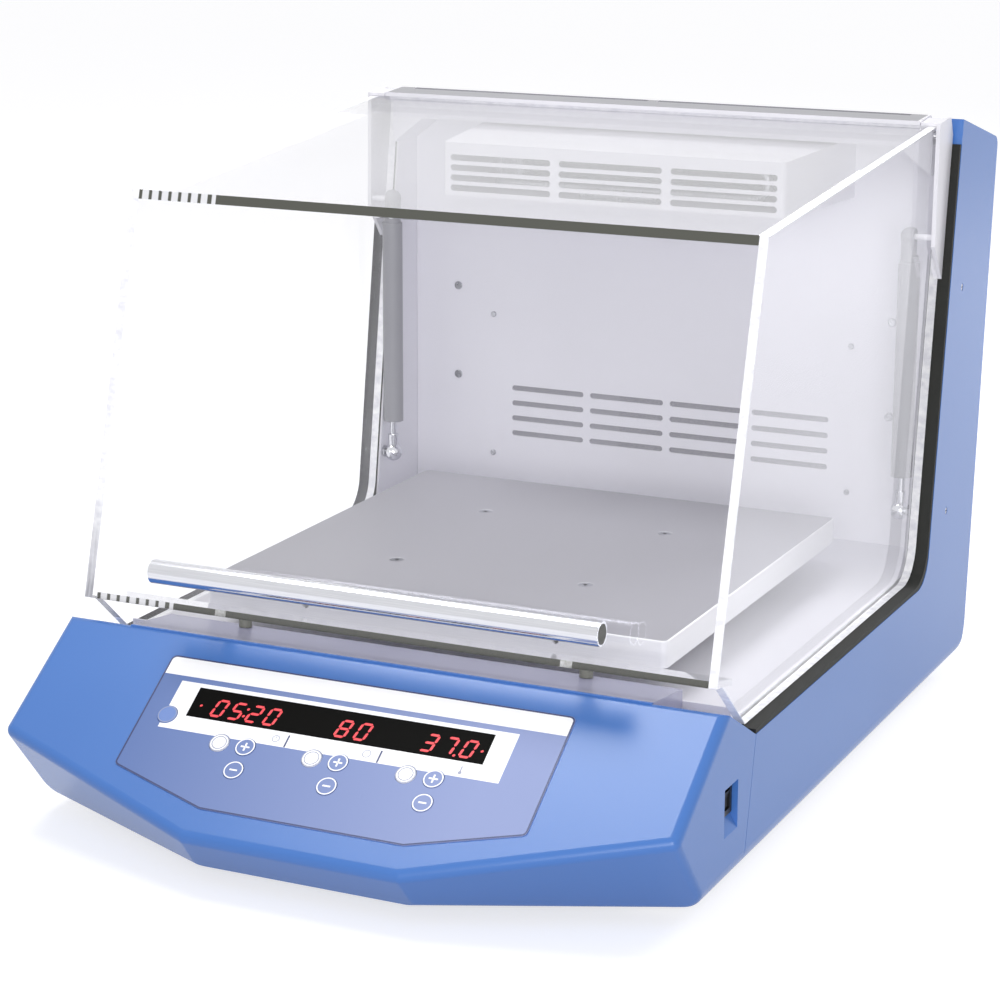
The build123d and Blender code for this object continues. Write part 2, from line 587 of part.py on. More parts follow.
def make_fan():
    y, z, floor = back_y - fan_reach, box_low_z + fan_rise, box_low_z + sheet
    bearing_x, motor_x0 = -fan_half - fan_end_gap, fan_half + fan_end_gap
    shaft_left, shaft_right = bearing_x - fan_bearing_thick + 2, motor_x0 + fan_motor_long / 2
    drum = rod((shaft_left, y, z), (shaft_right, y, z), fan_shaft)
    for x in (-fan_half, fan_half - fan_disc):
        drum += rod((x, y, z), (x + fan_disc, y, z), fan_radius)
    blade = Rot(blade_turn, 0, 0) * Box(2 * fan_half - 1.5 * fan_disc, blade_thick, blade_wide)
    for number in range(blade_count):
        turn = Pos(0, y, z) * Rot(number * 360 / blade_count, 0, 0)
        drum += turn * Pos(0, 0, fan_radius - 2.7) * blade
    keep("fan_drum", drum)
    bore = rod((shaft_left - 1, y, z), (shaft_right + 1, y, z), fan_shaft + running_gap)
    motor = rod((motor_x0, y, z), (motor_x0 + fan_motor_long, y, z), fan_motor_radius)
    motor += block(motor_x0 + 2, motor_x0 + fan_motor_long - 2, y - 8, y + 8, floor, z - fan_motor_radius + 3)
    bearing = block(bearing_x - fan_bearing_thick, bearing_x, y - 2 * fan_shaft, y + 2 * fan_shaft,
                    floor, z + 2 * fan_shaft)
    keep("fan_motor", motor - bore, bearing - bore)


def make_heater():
    y, run, floor = back_y - heater_reach, heater_half, box_low_z + sheet
    low, high, ends_y = floor + heater_low, floor + heater_high, y + heater_leg
    path = FilletPolyline((-run, ends_y, low), (-run, y, low), (run, y, low), (run, y, high), (-run, y, high),
                          (-run, ends_y, high), radius=heater_bend)
    coil = sweep(Plane(origin=path @ 0, z_dir=path % 0) * Circle(heater_radius), path=path)
    bracket = block(-run - 9, -run + 9, ends_y, ends_y + 2, floor, high + 5)
    keep("heater_coil", coil + bracket)
    y, z = back_y - probe_reach, floor + probe_radius + seat_gap
    probe = rod((-probe_half, y, z), (probe_half, y, z), probe_radius)
    clip = block(-clip_half, clip_half, y - clip_half, y + clip_half, floor, floor + sheet)
    keep("temperature_probe", probe + clip)


def make_power_supply():
    front = back_y + sheet
    supply = block(supply_left, supply_right, front, front + supply_thick, supply_low, supply_high)
    keep("power_supply", supply)


def make_screws():
    screws = []
    for y, z in side_screws:
        head = rod((half - 2 * side_skin, y, z), (half - 0.3, y, z), side_screw_radius)
        slot = block(half - 1.2, half, y - 2, y + 2, z - 0.4, z + 0.4)
        screws += both_sides(head - slot)
    for x, radius, heights in ((outer_screw_x, outer_screw_radius, (outer_screw_high_z, outer_screw_low_z)),
                               (inner_screw_x, inner_screw_radius, (inner_screw_high_z, inner_screw_low_z))):
        for z in heights:
            head = rod((x, back_y - screw_head_high, z), (x, back_y, z), radius)
            screws += both_sides(chamfer(head.edges().group_by(Axis.Y)[0], screw_head_high / 3))
    keep("casing_screws", *screws)


# ---------------------------------------------------------------- hood
def hood_outline():
    ahead = gasket_thick + fit_gap
    low_z = flange_z + gasket_thick + fit_gap
    return [(hood_front_y, hood_front_z), (brow_y, brow_z), (hinge_y + 1, hood_rear_z + fit_gap),
            (post_line(ear_z, ahead), ear_z), (post_line(low_z, ahead), low_z),
            (seam_top_y + chin_foot_back, low_z), (chin_cut_y, chin_cut_z)]


def make_hood():
    outer = across(outline(hood_outline(), {4: corner_round + gasket_thick}), -hood_half, hood_half)
    down = acrylic * (1 + top_rise ** 2) ** 0.5
    inner_brow_y = brow_y + (front_thick - down * front_lean) / (1 - front_lean * top_rise)
    inner_brow_z = brow_z + (inner_brow_y - brow_y) * top_rise - down
    beyond = 60.0
    low_z, back = hood_front_z - beyond, hood_rear_y + beyond
    hollow = [(hood_front_y + front_thick - beyond * front_lean, low_z), (inner_brow_y, inner_brow_z),
              (back, hood_rear_z + beyond * top_rise - down), (back, low_z)]
    shell = outer - across(outline(hollow), acrylic - hood_half, hood_half - acrylic)
    fall = tan(radians(lip_slope))
    lip = [(lip_y, lip_z), (lip_y + lip_length, lip_z - lip_length * fall),
           (lip_y + lip_length, lip_z - lip_length * fall - lip_thick), (lip_y, lip_z - lip_thick)]
    shell += across(outline(lip), acrylic - lip_bond - hood_half, hood_half - acrylic + lip_bond)
    shell -= block(-flange_x + 1, flange_x - 1, hood_rear_y, hinge_y + 20, ear_z - 20, casing_height + 9)
    y, z = upper_ball_y, upper_ball_z
    for hole in both_sides(rod((0, y, z), (half, y, z), stud_radius + 4 * seat_gap)):
        shell -= hole
    for x in (-handle_post_x, handle_post_x):
        shell -= rod(off_sheet(x, -handle_radius), off_sheet(x, 2 * acrylic), handle_screw_radius + seat_gap)
    keep("hood_shell", shell)

    bumpers = []
    for x in (-bumper_x, bumper_x):
        y = lip_y + lip_length - bumper_inset
        high = lip_z - (y - lip_y) * fall - lip_thick
        low = crest_z - (y - crest_y) * ledge_lean + fit_gap
        pad = rod((x, y, low - 3), (x, y, high + 3), bumper_radius)
        pad = trimmed(pad, [((0, y, high - seat_gap), (0, fall, 1)), ((0, y, low), (0, -ledge_lean, -1))])
        bumpers.append(pad)
    keep("hood_bumpers", *bumpers)


def off_sheet(x, inwards):
    """point on a screw's line, square to the sloped front: zero at its outer face, positive inwards"""
    way = Vector(0, 1, -front_lean).normalized()
    axis = Vector(x, handle_y, handle_z)
    ahead = (Vector(x, hood_front_y, hood_front_z) - axis).dot(way)
    return tuple(axis + way * (ahead + inwards))


def make_handle():
    tube = rod((-handle_half, handle_y, handle_z), (handle_half, handle_y, handle_z), handle_radius)
    screws = []
    for x in (-handle_post_x, handle_post_x):
        tube += rod((x, handle_y, handle_z), off_sheet(x, 0.0), handle_post_radius)
        seat, end = off_sheet(x, acrylic + seat_gap), off_sheet(x, acrylic + handle_screw_high)
        shank = rod(off_sheet(x, -handle_screw_bite), end, handle_screw_radius)
        screws.append(rod(seat, end, handle_screw_head) + shank)
    keep("handle_screws", *screws)
    for x in (-handle_post_x, handle_post_x):
        tube -= rod(off_sheet(x, -handle_screw_bite - 1), off_sheet(x, 1), handle_screw_radius + running_gap)
    bore = handle_radius - handle_wall
    tube -= rod((-handle_half - 1, handle_y, handle_z), (handle_half + 1, handle_y, handle_z), bore)
    plug = rod((handle_half - plug_long, handle_y, handle_z), (handle_half - 0.3, handle_y, handle_z),
               bore - running_gap)
    keep("hood_handle", tube, *both_sides(plug))


def hinge_barrel(x0, x1):
    return rod((x0, hinge_y, hinge_z), (x1, hinge_y, hinge_z), barrel_radius)


def make_hinge():
    clear = barrel_radius + 1.2
    ends = [-strip_half, knuckle_end - strip_half, -knuckle_mid / 2]
    ends += [-x for x in reversed(ends)]
    spans = list(zip(ends, ends[1:]))
    bore = rod((-half, hinge_y, hinge_z), (half, hinge_y, hinge_z), pin_radius + running_gap)
    seat = hood_rear_z + seat_gap
    back = hinge_y - 1.0
    front = hood_rear_y - leaf_length
    leaf = [(front, seat - leaf_length * top_rise), (hood_rear_y, seat), (back, seat),
            (back, casing_height), (front, casing_height - leaf_length * top_rise)]
    strip = across(outline(leaf), -strip_half, strip_half)
    for x0, x1 in spans[1::2]:
        strip -= block(x0 - fit_gap, x1 + fit_gap, hinge_y - clear, hinge_y + 2 * clear, hinge_z - 3 * clear,
                       hinge_z + 3 * clear)
    for x0, x1 in spans[0::2]:
        strip += hinge_barrel(x0 + fit_gap / 2, x1 - fit_gap / 2)
    strip -= bore
    ahead = gasket_thick + 2 * fit_gap
    side = [(upper_ball_y - 4, upper_ball_z - 6), (post_line(plate_foot_z, ahead), plate_foot_z),
            (post_line(ear_z, ahead), ear_z), (hinge_y + 1, hood_rear_z + 2), (hood_rear_y, hood_rear_z + 2),
            (front, hood_rear_z + 2 - leaf_length * top_rise)]
    plate = across(outline(side), hood_half + seat_gap, hood_half + plate_thick)
    cap = [(front, seat - leaf_length * top_rise), (hood_rear_y, seat), (hood_rear_y, hood_rear_z + 2),
           (front, hood_rear_z + 2 - leaf_length * top_rise)]
    plate += across(outline(cap), strip_half + 0.8, hood_half + plate_thick)
    x, y, z = spring_x, upper_ball_y, upper_ball_z
    plate += rod((x, y, z), (hood_half + 1, y, z), stud_radius) + ball(x, y, z, ball_radius)
    keep("hood_hinge_plates", strip, *both_sides(plate))

    rail_y = hinge_y + leaf_length
    rail = [(hinge_y, header_top_z), (rail_y, header_top_z), (rail_y, header_top_z + leaf_thick),
            (hinge_y, header_top_z + leaf_thick)]
    fixed = across(outline(rail), -strip_half, strip_half)
    for x0, x1 in spans[0::2]:
        fixed -= block(x0 - fit_gap, x1 + fit_gap, hinge_y - 2 * clear, hinge_y + clear, hinge_z - 3 * clear,
                       hinge_z + 3 * clear)
    for x0, x1 in spans[1::2]:
        fixed += hinge_barrel(x0 + fit_gap / 2, x1 - fit_gap / 2)
    keep("hinge_rail", fixed - bore)
    keep("hinge_pin", rod((-strip_half, hinge_y, hinge_z), (strip_half, hinge_y, hinge_z), pin_radius))


# ---------------------------------------------------------------- gas springs
def ball_socket(y, z):
    """round cup on a ball, open towards the side of the casing"""
    face_x = spring_x + socket_face
    cup = ball(spring_x, y, z, socket_radius)
    cup -= block(face_x, face_x + 20, y - 20, y + 20, z - 20, z + 20)
    cup -= ball(spring_x, y, z, ball_radius + running_gap)
    return cup - rod((spring_x, y, z), (spring_x + 20, y, z), stud_radius + 0.5)


def make_gas_springs():
    x, y = spring_x, upper_ball_y
    low, high = lower_ball_z + tube_end_gap, upper_ball_z - socket_radius - 11
    tube = rod((x, y, low), (x, y, high), tube_radius)
    tube = fillet(tube.edges().group_by(Axis.Z)[-1], tube_radius - neck_radius)
    tube -= rod((x, y, low - 1), (x, y, high - 8), tube_bore)
    neck = rod((x, y, high - 2), (x, y, upper_ball_z), neck_radius)
    face_x = spring_x + socket_face
    neck -= block(face_x, face_x + 20, y - 20, y + 20, upper_ball_z - 2 * socket_radius, upper_ball_z + 20)
    neck -= ball(x, y, upper_ball_z, ball_radius + running_gap)
    neck -= rod((x, y, upper_ball_z), (x + 20, y, upper_ball_z), stud_radius + 0.5)
    cylinder = tube + neck + ball_socket(y, upper_ball_z)
    right, left = both_sides(cylinder)
    keep("spring_cylinder_right", right)
    keep("spring_cylinder_left", left)

    y = lower_ball_y
    low, high = lower_ball_z + socket_radius - 1.5, upper_ball_z - rod_end_gap
    shaft = rod((x, y, low), (x, y, high), rod_radius)
    collar = rod((x, y, low), (x, y, low + 9), collar_radius)
    shaft = shaft + collar + ball_socket(y, lower_ball_z)
    right, left = both_sides(shaft)
    keep("spring_rod_right", right)
    keep("spring_rod_left", left)

    inner = flange_x - sheet
    stud = rod((x, y, lower_ball_z), (inner, y, lower_ball_z), stud_radius)
    stud += ball(x, y, lower_ball_z, ball_radius)
    stud += extrude(Plane(origin=(inner, y, lower_ball_z), z_dir=(-1, 0, 0)) * RegularPolygon(4.5, 6), 2.4)
    keep("ball_studs", *both_sides(stud))


# ---------------------------------------------------------------- platform and its drive
def fixing_places():
    return [(platform_x + side * fixing_x / 2, platform_y + end * fixing_y / 2)
            for side in (-1, 1) for end in (-1, 1)]


def make_platform():
    low = platform_top - skirt_height
    size = platform_size
    tray = Pos(platform_x, platform_y, (low + platform_top) / 2) * Box(size, size, skirt_height)
    tray = fillet(tray.edges().filter_by(Axis.Z), platform_round)
    tray = fillet(tray.faces().sort_by(Axis.Z)[-1].edges(), platform_edge)
    hollow = Pos(platform_x, platform_y, (low - 2 + platform_top - platform_sheet) / 2)
    inner = size - 2 * skirt_sheet
    hollow *= Box(inner, inner, skirt_height - platform_sheet + 2)
    tray -= fillet(hollow.edges().filter_by(Axis.Z), platform_round - skirt_sheet)
    front = platform_y - size / 2
    for x in (-skirt_hole_spacing / 2, skirt_hole_spacing / 2):
        for y in (front, front + size):
            tray -= rod((platform_x + x, y - 5, skirt_hole_z), (platform_x + x, y + 5, skirt_hole_z),
                        skirt_hole_radius)
    screws = []
    middle = platform_top - fixing_sink / 2
    for x, y in fixing_places():
        cone = Cone(fixing_radius + seat_gap, fixing_head + 2 * seat_gap, fixing_sink + 2 * seat_gap)
        tray -= Pos(x, y, middle) * cone + upright(x, y, low, platform_top, fixing_radius + 2 * seat_gap)
        head = Pos(x, y, middle - seat_gap) * Cone(fixing_radius, fixing_head, fixing_sink)
        head += rod((x, y, platform_top - fixing_length), (x, y, middle - seat_gap), fixing_radius)
        head -= Pos(x, y, platform_top) * extrude(RegularPolygon(1.6, 6), 2.0, both=True)
        screws.append(head)
    keep("platform_tray", tray)
    keep("platform_screws", *screws)

    plate = Pos(platform_x, platform_y, carrier_low_z + carrier_thick / 2)
    carrier = plate * Box(carrier_size, carrier_size, carrier_thick)
    carrier = chamfer(carrier.edges().filter_by(Axis.Z), carrier_corner)
    top, dust_z = carrier_top_z, floor_z + 1.5
    for x, y in fixing_places():
        carrier += upright(x, y, top - 1, platform_top - platform_sheet, column_radius)
        carrier -= upright(x, y, platform_top - fixing_length - 2, platform_top, fixing_radius + seat_gap)
        carrier += (upright(x, y, dust_z, dust_z + collar_thick, column_radius + 2 * orbit + 8)
                    - upright(x, y, dust_z - 1, dust_z + 5, column_radius - 1))
    carrier -= upright(platform_x, platform_y, 0, top + 1, crank_pin_radius + running_gap)
    for x, y in idler_places():
        carrier -= upright(x + shift_x, y + shift_y, 0, top + 1, idler_pin_radius + running_gap)
    keep("carrier_plate", carrier)


def idler_places():
    spots = []
    for angle in (90, 210, 330):
        turn = radians(angle)
        spots.append((drive_x + idler_circle * cos(turn), drive_y + idler_circle * sin(turn)))
    return spots


def make_drive_frame():
    base = frame_top_z
    frame = block(-frame_left, frame_right, drive_y - frame_front, drive_y + frame_rear, pan_thick, base)
    frame = chamfer(frame.edges().filter_by(Axis.Z), frame_corner)
    frame += upright(drive_x, drive_y, base - 1, hub_top_z, hub_radius)
    frame -= upright(drive_x, drive_y, base - 3, hub_top_z + 1, hub_bearing_radius)
    rings = []
    for z in (base + 2, hub_top_z - hub_bearing_high - 1):
        outer = upright(drive_x, drive_y, z, z + hub_bearing_high, hub_bearing_radius - press_gap)
        rings.append(outer - upright(drive_x, drive_y, 0, hub_top_z + 1, crank_radius + running_gap))
    for x, y in idler_places():
        frame += upright(x, y, base - 1, stand_top_z, stand_radius)
        frame -= upright(x, y, idler_bore_z, stand_top_z + 1, idler_bearing_radius)
        for z in (idler_bore_z + 1, stand_top_z - idler_bearing_high - 2):
            ring = upright(x, y, z, z + idler_bearing_high, idler_bearing_radius - press_gap)
            rings.append(ring - upright(x, y, 0, stand_top_z + 1, idler_radius + running_gap))
    keep("drive_frame", frame)
    keep("drive_bearings", *rings)


def make_cranks():
    web_top = web_low_z + web_thick
    crank = upright(drive_x, drive_y, frame_top_z - 2, web_low_z + 1, crank_radius)
    crank += upright(drive_x, drive_y, web_low_z, web_top, web_radius)
    lobe = upright(drive_x, drive_y, web_low_z, web_top, lobe_radius)
    crank += trimmed(lobe, [((drive_x, drive_y, 0), (shift_x, shift_y, 0))])
    crank += upright(platform_x, platform_y, web_top - 1, carrier_top_z, crank_pin_radius)
    keep("crank_shaft", crank)
    arm_top = arm_low_z + arm_thick
    for name, (x, y) in zip(("idler_back", "idler_left", "idler_right"), idler_places()):
        pin_x, pin_y = x + shift_x, y + shift_y
        idler = upright(x, y, idler_bore_z + 1, arm_low_z + 1, idler_radius)
        idler += upright(x, y, arm_low_z, arm_top, arm_radius)
        idler += upright(pin_x, pin_y, arm_low_z, arm_top, arm_radius)
        arm = Rot(0, 0, rest_angle) * Box(orbit, 2 * arm_radius, arm_thick)
        idler += Pos((x + pin_x) / 2, (y + pin_y) / 2, arm_low_z + arm_thick / 2) * arm
        idler += upright(pin_x, pin_y, arm_top - 1, carrier_top_z, idler_pin_radius)
        keep(name, idler)


def pulley(x, radius, hole):
    """flanged pulley on an upright shaft"""
    low, high = pulley_low_z, pulley_low_z + pulley_high
    wheel = upright(x, drive_y, low, high, radius)
    for z in (low, high - pulley_rim_thick):
        wheel += upright(x, drive_y, z, z + pulley_rim_thick, radius + pulley_rim)
    return wheel - upright(x, drive_y, low - 1, high + 1, hole)


def make_belt_drive():
    keep("drive_pulley", pulley(drive_x, pulley_radius, crank_radius))
    shaft_foot = motor_top_z - 5
    shaft = upright(motor_x, drive_y, shaft_foot, pulley_low_z + pulley_high, motor_shaft_radius)
    keep("motor_pulley", pulley(motor_x, motor_pulley_radius, motor_shaft_radius - 0.5) + shaft)
    motor = upright(motor_x, drive_y, frame_top_z, motor_top_z, motor_radius)
    motor = fillet(motor.edges().group_by(Axis.Z)[-1], 3)
    motor -= upright(motor_x, drive_y, shaft_foot - 1, motor_top_z + 1, motor_shaft_radius + running_gap)
    keep("drive_motor", motor)
    low = pulley_low_z + (pulley_high - belt_width) / 2

    def loop(grow):
        big = Pos(drive_x, drive_y) * Circle(pulley_radius + grow)
        small = Pos(motor_x, drive_y) * Circle(motor_pulley_radius + grow)
        return upwards(make_hull((big + small).edges()), low, low + belt_width)

    keep("drive_belt", loop(belt_thick + belt_gap) - loop(belt_gap))


# ---------------------------------------------------------------- build and write
for make in (make_front_housing, make_switch, make_controls, make_side_panels, make_gaskets, make_base,
             make_rear, make_inlet, make_chamber, make_air_box, make_fan, make_heater, make_power_supply,
             make_screws, make_hood, make_handle, make_hinge, make_gas_springs, make_platform,
             make_drive_frame, make_cranks, make_belt_drive):
    make()

os.makedirs("parts", exist_ok=True)
stand = Pos(0, -depth / 2, foot_height)
for name, solids in pieces.items():
    moved = [stand * solid for solid in solids]
    export_step(moved[0] if len(moved) == 1 else Compound(children=moved), f"parts/{name}.step")
print(len(pieces), "pieces,", sum(len(solids) for solids in pieces.values()), "solids")
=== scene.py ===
import bpy
import numpy as np
from math import cos, pi, radians, sin, tan
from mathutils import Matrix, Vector


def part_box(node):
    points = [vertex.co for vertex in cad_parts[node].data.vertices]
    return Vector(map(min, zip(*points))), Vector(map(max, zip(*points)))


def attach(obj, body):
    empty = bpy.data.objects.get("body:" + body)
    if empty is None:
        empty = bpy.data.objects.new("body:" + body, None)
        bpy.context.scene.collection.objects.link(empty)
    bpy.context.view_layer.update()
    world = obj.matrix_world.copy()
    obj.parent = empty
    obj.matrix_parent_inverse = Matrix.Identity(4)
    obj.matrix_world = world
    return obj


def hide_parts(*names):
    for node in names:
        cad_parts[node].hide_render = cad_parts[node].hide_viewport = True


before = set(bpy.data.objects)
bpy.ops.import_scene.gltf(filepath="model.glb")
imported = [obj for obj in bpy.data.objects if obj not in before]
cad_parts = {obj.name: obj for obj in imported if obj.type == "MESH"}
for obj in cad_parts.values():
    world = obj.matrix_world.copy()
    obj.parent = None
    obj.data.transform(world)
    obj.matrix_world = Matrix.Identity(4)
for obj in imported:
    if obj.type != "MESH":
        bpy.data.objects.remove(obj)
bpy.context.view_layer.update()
print("frame loaded")

# Lengths below are millimetres from the front crease (y), the middle (x) and the casing underside (z).
casing = {"front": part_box("front_housing")[0][1], "under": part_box("front_housing")[0][2]}


def toScene(points):
    # millimetres on the shaker -> metres in the frame
    return np.asarray(points, float) / 1000 + np.array([0, casing["front"], casing["under"]])


# ---- camera, where the photograph was taken from
camera = {"place": (776.7, -1373.9, 658.2), "azimuth": 25.72, "elevation": 13.50,
          "focalPx": 2809, "framePx": 1000, "centrePx": (459.7, 442.3)}


def makeCamera():
    data = bpy.data.cameras.new("studioCamera")
    data.sensor_width = 36
    data.lens = camera["focalPx"] * data.sensor_width / camera["framePx"]
    data.shift_x = 0.5 - camera["centrePx"][0] / camera["framePx"]
    data.shift_y = camera["centrePx"][1] / camera["framePx"] - 0.5
    data.clip_end = 50
    turn, lift = radians(camera["azimuth"]), radians(camera["elevation"])
    back = Vector((sin(turn) * cos(lift), -cos(turn) * cos(lift), sin(lift)))
    body = bpy.data.objects.new("studioCamera", data)
    body.location = toScene(camera["place"])
    body.rotation_euler = (-back).to_track_quat("-Z", "Y").to_euler()
    bpy.context.collection.objects.link(body)
    bpy.context.scene.camera = body


makeCamera()
print("camera set")


# ---- materials
def linear(hexCode):
    # sRGB hex -> linear colour
    parts = [int(hexCode[n:n + 2], 16) / 255 for n in (1, 3, 5)]
    return (*[p / 12.92 if p <= 0.04045 else ((p + 0.055) / 1.055) ** 2.4 for p in parts], 1.0)


def addNode(tree, kind, links=None, inputs=None, **settings):
    # one node, its settings, the values of its inputs and what is plugged into them
    node = tree.nodes.new(kind)
    for name, value in settings.items():
        setattr(node, name, value)
    for socket, value in (inputs or {}).items():
        node.inputs[socket].default_value = value
    for socket, source in (links or {}).items():
        tree.links.new(source, node.inputs[socket])
    return node


def newMaterial(name, **values):
    material = bpy.data.materials.new(name)
    material.use_nodes = True
    tree = material.node_tree
    shader = tree.nodes["Principled BSDF"]
    for socket, value in values.items():
        shader.inputs[socket.replace("_", " ")].default_value = value
    where = addNode(tree, "ShaderNodeTexCoord").outputs["Object"]
    return material, tree, shader, where


def noiseAt(tree, where, sizeMm, detail=2.0, stretch=(1, 1, 1)):
    # noise whose lumps are about sizeMm across; stretch above 1 makes them finer along that axis
    scaled = addNode(tree, "ShaderNodeMapping", {"Vector": where}, {"Scale": stretch})
    return addNode(tree, "ShaderNodeTexNoise", {"Vector": scaled.outputs[0]},
                   {"Scale": 1000 / sizeMm, "Detail": detail}).outputs["Fac"]


def mixColours(tree, factor, first, second):
    ramp = addNode(tree, "ShaderNodeValToRGB", {"Fac": factor})
    ramp.color_ramp.elements[0].color = first
    ramp.color_ramp.elements[0].position = 0.3
    ramp.color_ramp.elements[1].color = second
    ramp.color_ramp.elements[1].position = 0.7
    return ramp.outputs["Color"]


def masked(tree, share, first, second):
    # the first colour where the share is 0, the second where it is 1
    mix = addNode(tree, "ShaderNodeMix", data_type="RGBA")
    for socket, source in ((0, share), (6, first), (7, second)):
        tree.links.new(source, mix.inputs[socket])
    return mix.outputs[2]


def product(tree, *shares):
    # all the shares multiplied
    result = shares[0]
    for share in shares[1:]:
        result = addNode(tree, "ShaderNodeMath", {0: result, 1: share}, operation="MULTIPLY").outputs[0]
    return result


def isAbove(tree, value, limit):
    return addNode(tree, "ShaderNodeMath", {0: value}, {1: limit}, operation="GREATER_THAN").outputs[0]


def isBelow(tree, value, limit):
    return addNode(tree, "ShaderNodeMath", {0: value}, {1: limit}, operation="LESS_THAN").outputs[0]


def spread(tree, value, start, end, low=0.0, high=1.0):
    # the value between start and end, laid out between low and high
    return addNode(tree, "ShaderNodeMapRange", {"Value": value},
                   {"From Min": start, "From Max": end, "To Min": low, "To Max": high}).outputs[0]


def axesOf(tree, place):
    # a place or a normal split into its three axes, and its distance from the middle plane
    axes = addNode(tree, "ShaderNodeSeparateXYZ", {0: place}).outputs
    aside = addNode(tree, "ShaderNodeMath", {0: axes["X"]}, operation="ABSOLUTE").outputs[0]
    return {"X": axes["X"], "Y": axes["Y"], "Z": axes["Z"], "aside": aside}


def normalOf(tree):
    return axesOf(tree, addNode(tree, "ShaderNodeTexCoord").outputs["Normal"])


def addBump(tree, shader, height, depthMm, strength=1.0):
    bump = addNode(tree, "ShaderNodeBump", {"Height": height},
                   {"Distance": depthMm / 1000, "Strength": strength})
    tree.links.new(bump.outputs["Normal"], shader.inputs["Normal"])


def coatColour(tree, where, light, dark, driftMm=140):
    # a sprayed colour drifts a little over the sheet
    return mixColours(tree, noiseAt(tree, where, driftMm, 1.0), linear(dark), linear(light))


def coated(name, light, dark, roughness, peelMm=1.6, peelDepth=0.012, **values):
    # a sprayed coat: even colour, and orange peel in its gloss
    material, tree, shader, where = newMaterial(name, Roughness=roughness, **values)
    tree.links.new(coatColour(tree, where, light, dark), shader.inputs["Base Color"])
    addBump(tree, shader, noiseAt(tree, where, peelMm, 3.0), peelDepth)
    return material


def drawn(name, light, dark, roughness, grain, grainMm=0.5, **values):
    # bare metal with a fine grain along one axis, which varies its colour and gloss
    material, tree, shader, where = newMaterial(name, **{"Metallic": 1.0, **values})
    lines = noiseAt(tree, where, grainMm, 4.0, grain)
    tree.links.new(mixColours(tree, lines, linear(dark), linear(light)), shader.inputs["Base Color"])
    gloss = spread(tree, lines, 0.0, 1.0, roughness * 0.8, roughness * 1.2)
    tree.links.new(gloss, shader.inputs["Roughness"])
    addBump(tree, shader, lines, 0.01, 0.5)
    return material


def moulded(name, light, dark, roughness, textureMm=0.4, depthMm=0.02, **values):
    # moulded plastic or rubber with a fine spark-eroded texture
    material, tree, shader, where = newMaterial(name, Roughness=roughness, **values)
    grain = noiseAt(tree, where, textureMm, 3.0)
    tree.links.new(mixColours(tree, grain, linear(dark), linear(light)), shader.inputs["Base Color"])
    addBump(tree, shader, grain, depthMm)
    return material


# satin enamel on steel and moulded polyurethane: light blue that pales where the lamps graze it
enamel = {"light": "#4675bd", "dark": "#4372ba", "roughness": 0.26}
satin = {"Specular_IOR_Level": 0.42}
blueEnamel = coated("satinEnamelBlue", *enamel.values(), **satin)
# powder coat on steel sheet: cool white, a little coarser peel
whiteCoat = coated("powderCoatWhite", "#e6e5ed", "#e2e1e9", 0.42, 2.2, 0.015)
# ground and polished stainless tube: clean highlights, hardly any grain
stainless = drawn("polishedStainless", "#dcdde2", "#d2d3d9", 0.15, (0.02, 1, 1), 0.6)
# turned steel of shafts, screws and studs: grey, with rings round the axis
turned = drawn("turnedSteel", "#b9bac0", "#a9aab0", 0.28, (1, 1, 0.2), 0.5)
# zinc plated sheet: slightly mottled grey
zinc = drawn("zincPlatedSheet", "#b5b5ba", "#a6a7ad", 0.38, (0.4, 1, 1), 6.0)
# hinge rail: dull rolled aluminium, darker than the white parts around it
rolled = drawn("rolledAluminium", "#7d7d84", "#74747b", 0.55, (0.02, 1, 1), 0.8, Metallic=0.4)
# machined casting: dull grey aluminium with fine grit
casting = drawn("castAluminium", "#a4a5a9", "#96979c", 0.5, (1, 1, 1), 1.2)
# closed-cell sponge rubber: near black with small open pores on its cut face
seal = moulded("closedCellSeal", "#14150f", "#080a08", 0.75, 0.8, 0.08)
# moulded rubber: dull black under the casing, olive grey under the hood
footRubber = moulded("mouldedRubber", "#1c1c1b", "#131312", 0.7, 0.6, 0.04)
bumperRubber = moulded("mouldedRubberGrey", "#8a8a80", "#7d7e74", 0.6, 0.6, 0.04)
# moulded nylon: black with a soft shine, olive in the handle's plugs
blackNylon = moulded("mouldedNylonBlack", "#171718", "#0e0e0f", 0.45)
plugNylon = moulded("mouldedNylonOlive", "#4b4c44", "#42433c", 0.5)
# baked paint on the spring tubes, the motors and the power supply, whose case closes the left vents
tubePaint = coated("springTubeGreyPaint", "#929298", "#8a8a91", 0.4, 1.2, 0.008)
motorPaint = coated("motorPaintBlack", "#26272a", "#1d1e20", 0.45)
supplyCase = coated("powderCoatGrey", "#9c9ba3", "#8e8d95", 0.9, 1.5, 0.02)
# glass cloth in epoxy under a green solder mask
boardGreen = moulded("epoxyGlassBoard", "#1e6b3d", "#185a33", 0.4, 1.5, 0.01)
# screen printed inks: flat and even, with a very fine peel
keyBlue = coated("printedFilmKeyBlue", "#6483c3", "#5f7ebe", 0.3, 0.8, 0.004)
inkWhite = coated("screenInkWhite", "#fbfbfd", "#f6f6fa", 0.35, 0.7, 0.003)
inkNavy = coated("screenInkNavy", "#1d2f66", "#1a2b60", 0.35, 0.7, 0.003)
inkGrey = coated("screenInkGrey", "#989db4", "#9096ae", 0.35, 0.7, 0.003)
# smoked acrylic over the digits: nearly black, with little shine under these lamps
displayWindow = coated("smokedAcrylic", "#121211", "#0e0e0d", 0.3, 3.0, 0.002, Specular_IOR_Level=0.01)
# non-woven filter mat behind the return vents: mid grey, fibrous
filterMat = moulded("filterMatGrey", "#9c9ba3", "#88878f", 0.9, 1.5, 0.2)

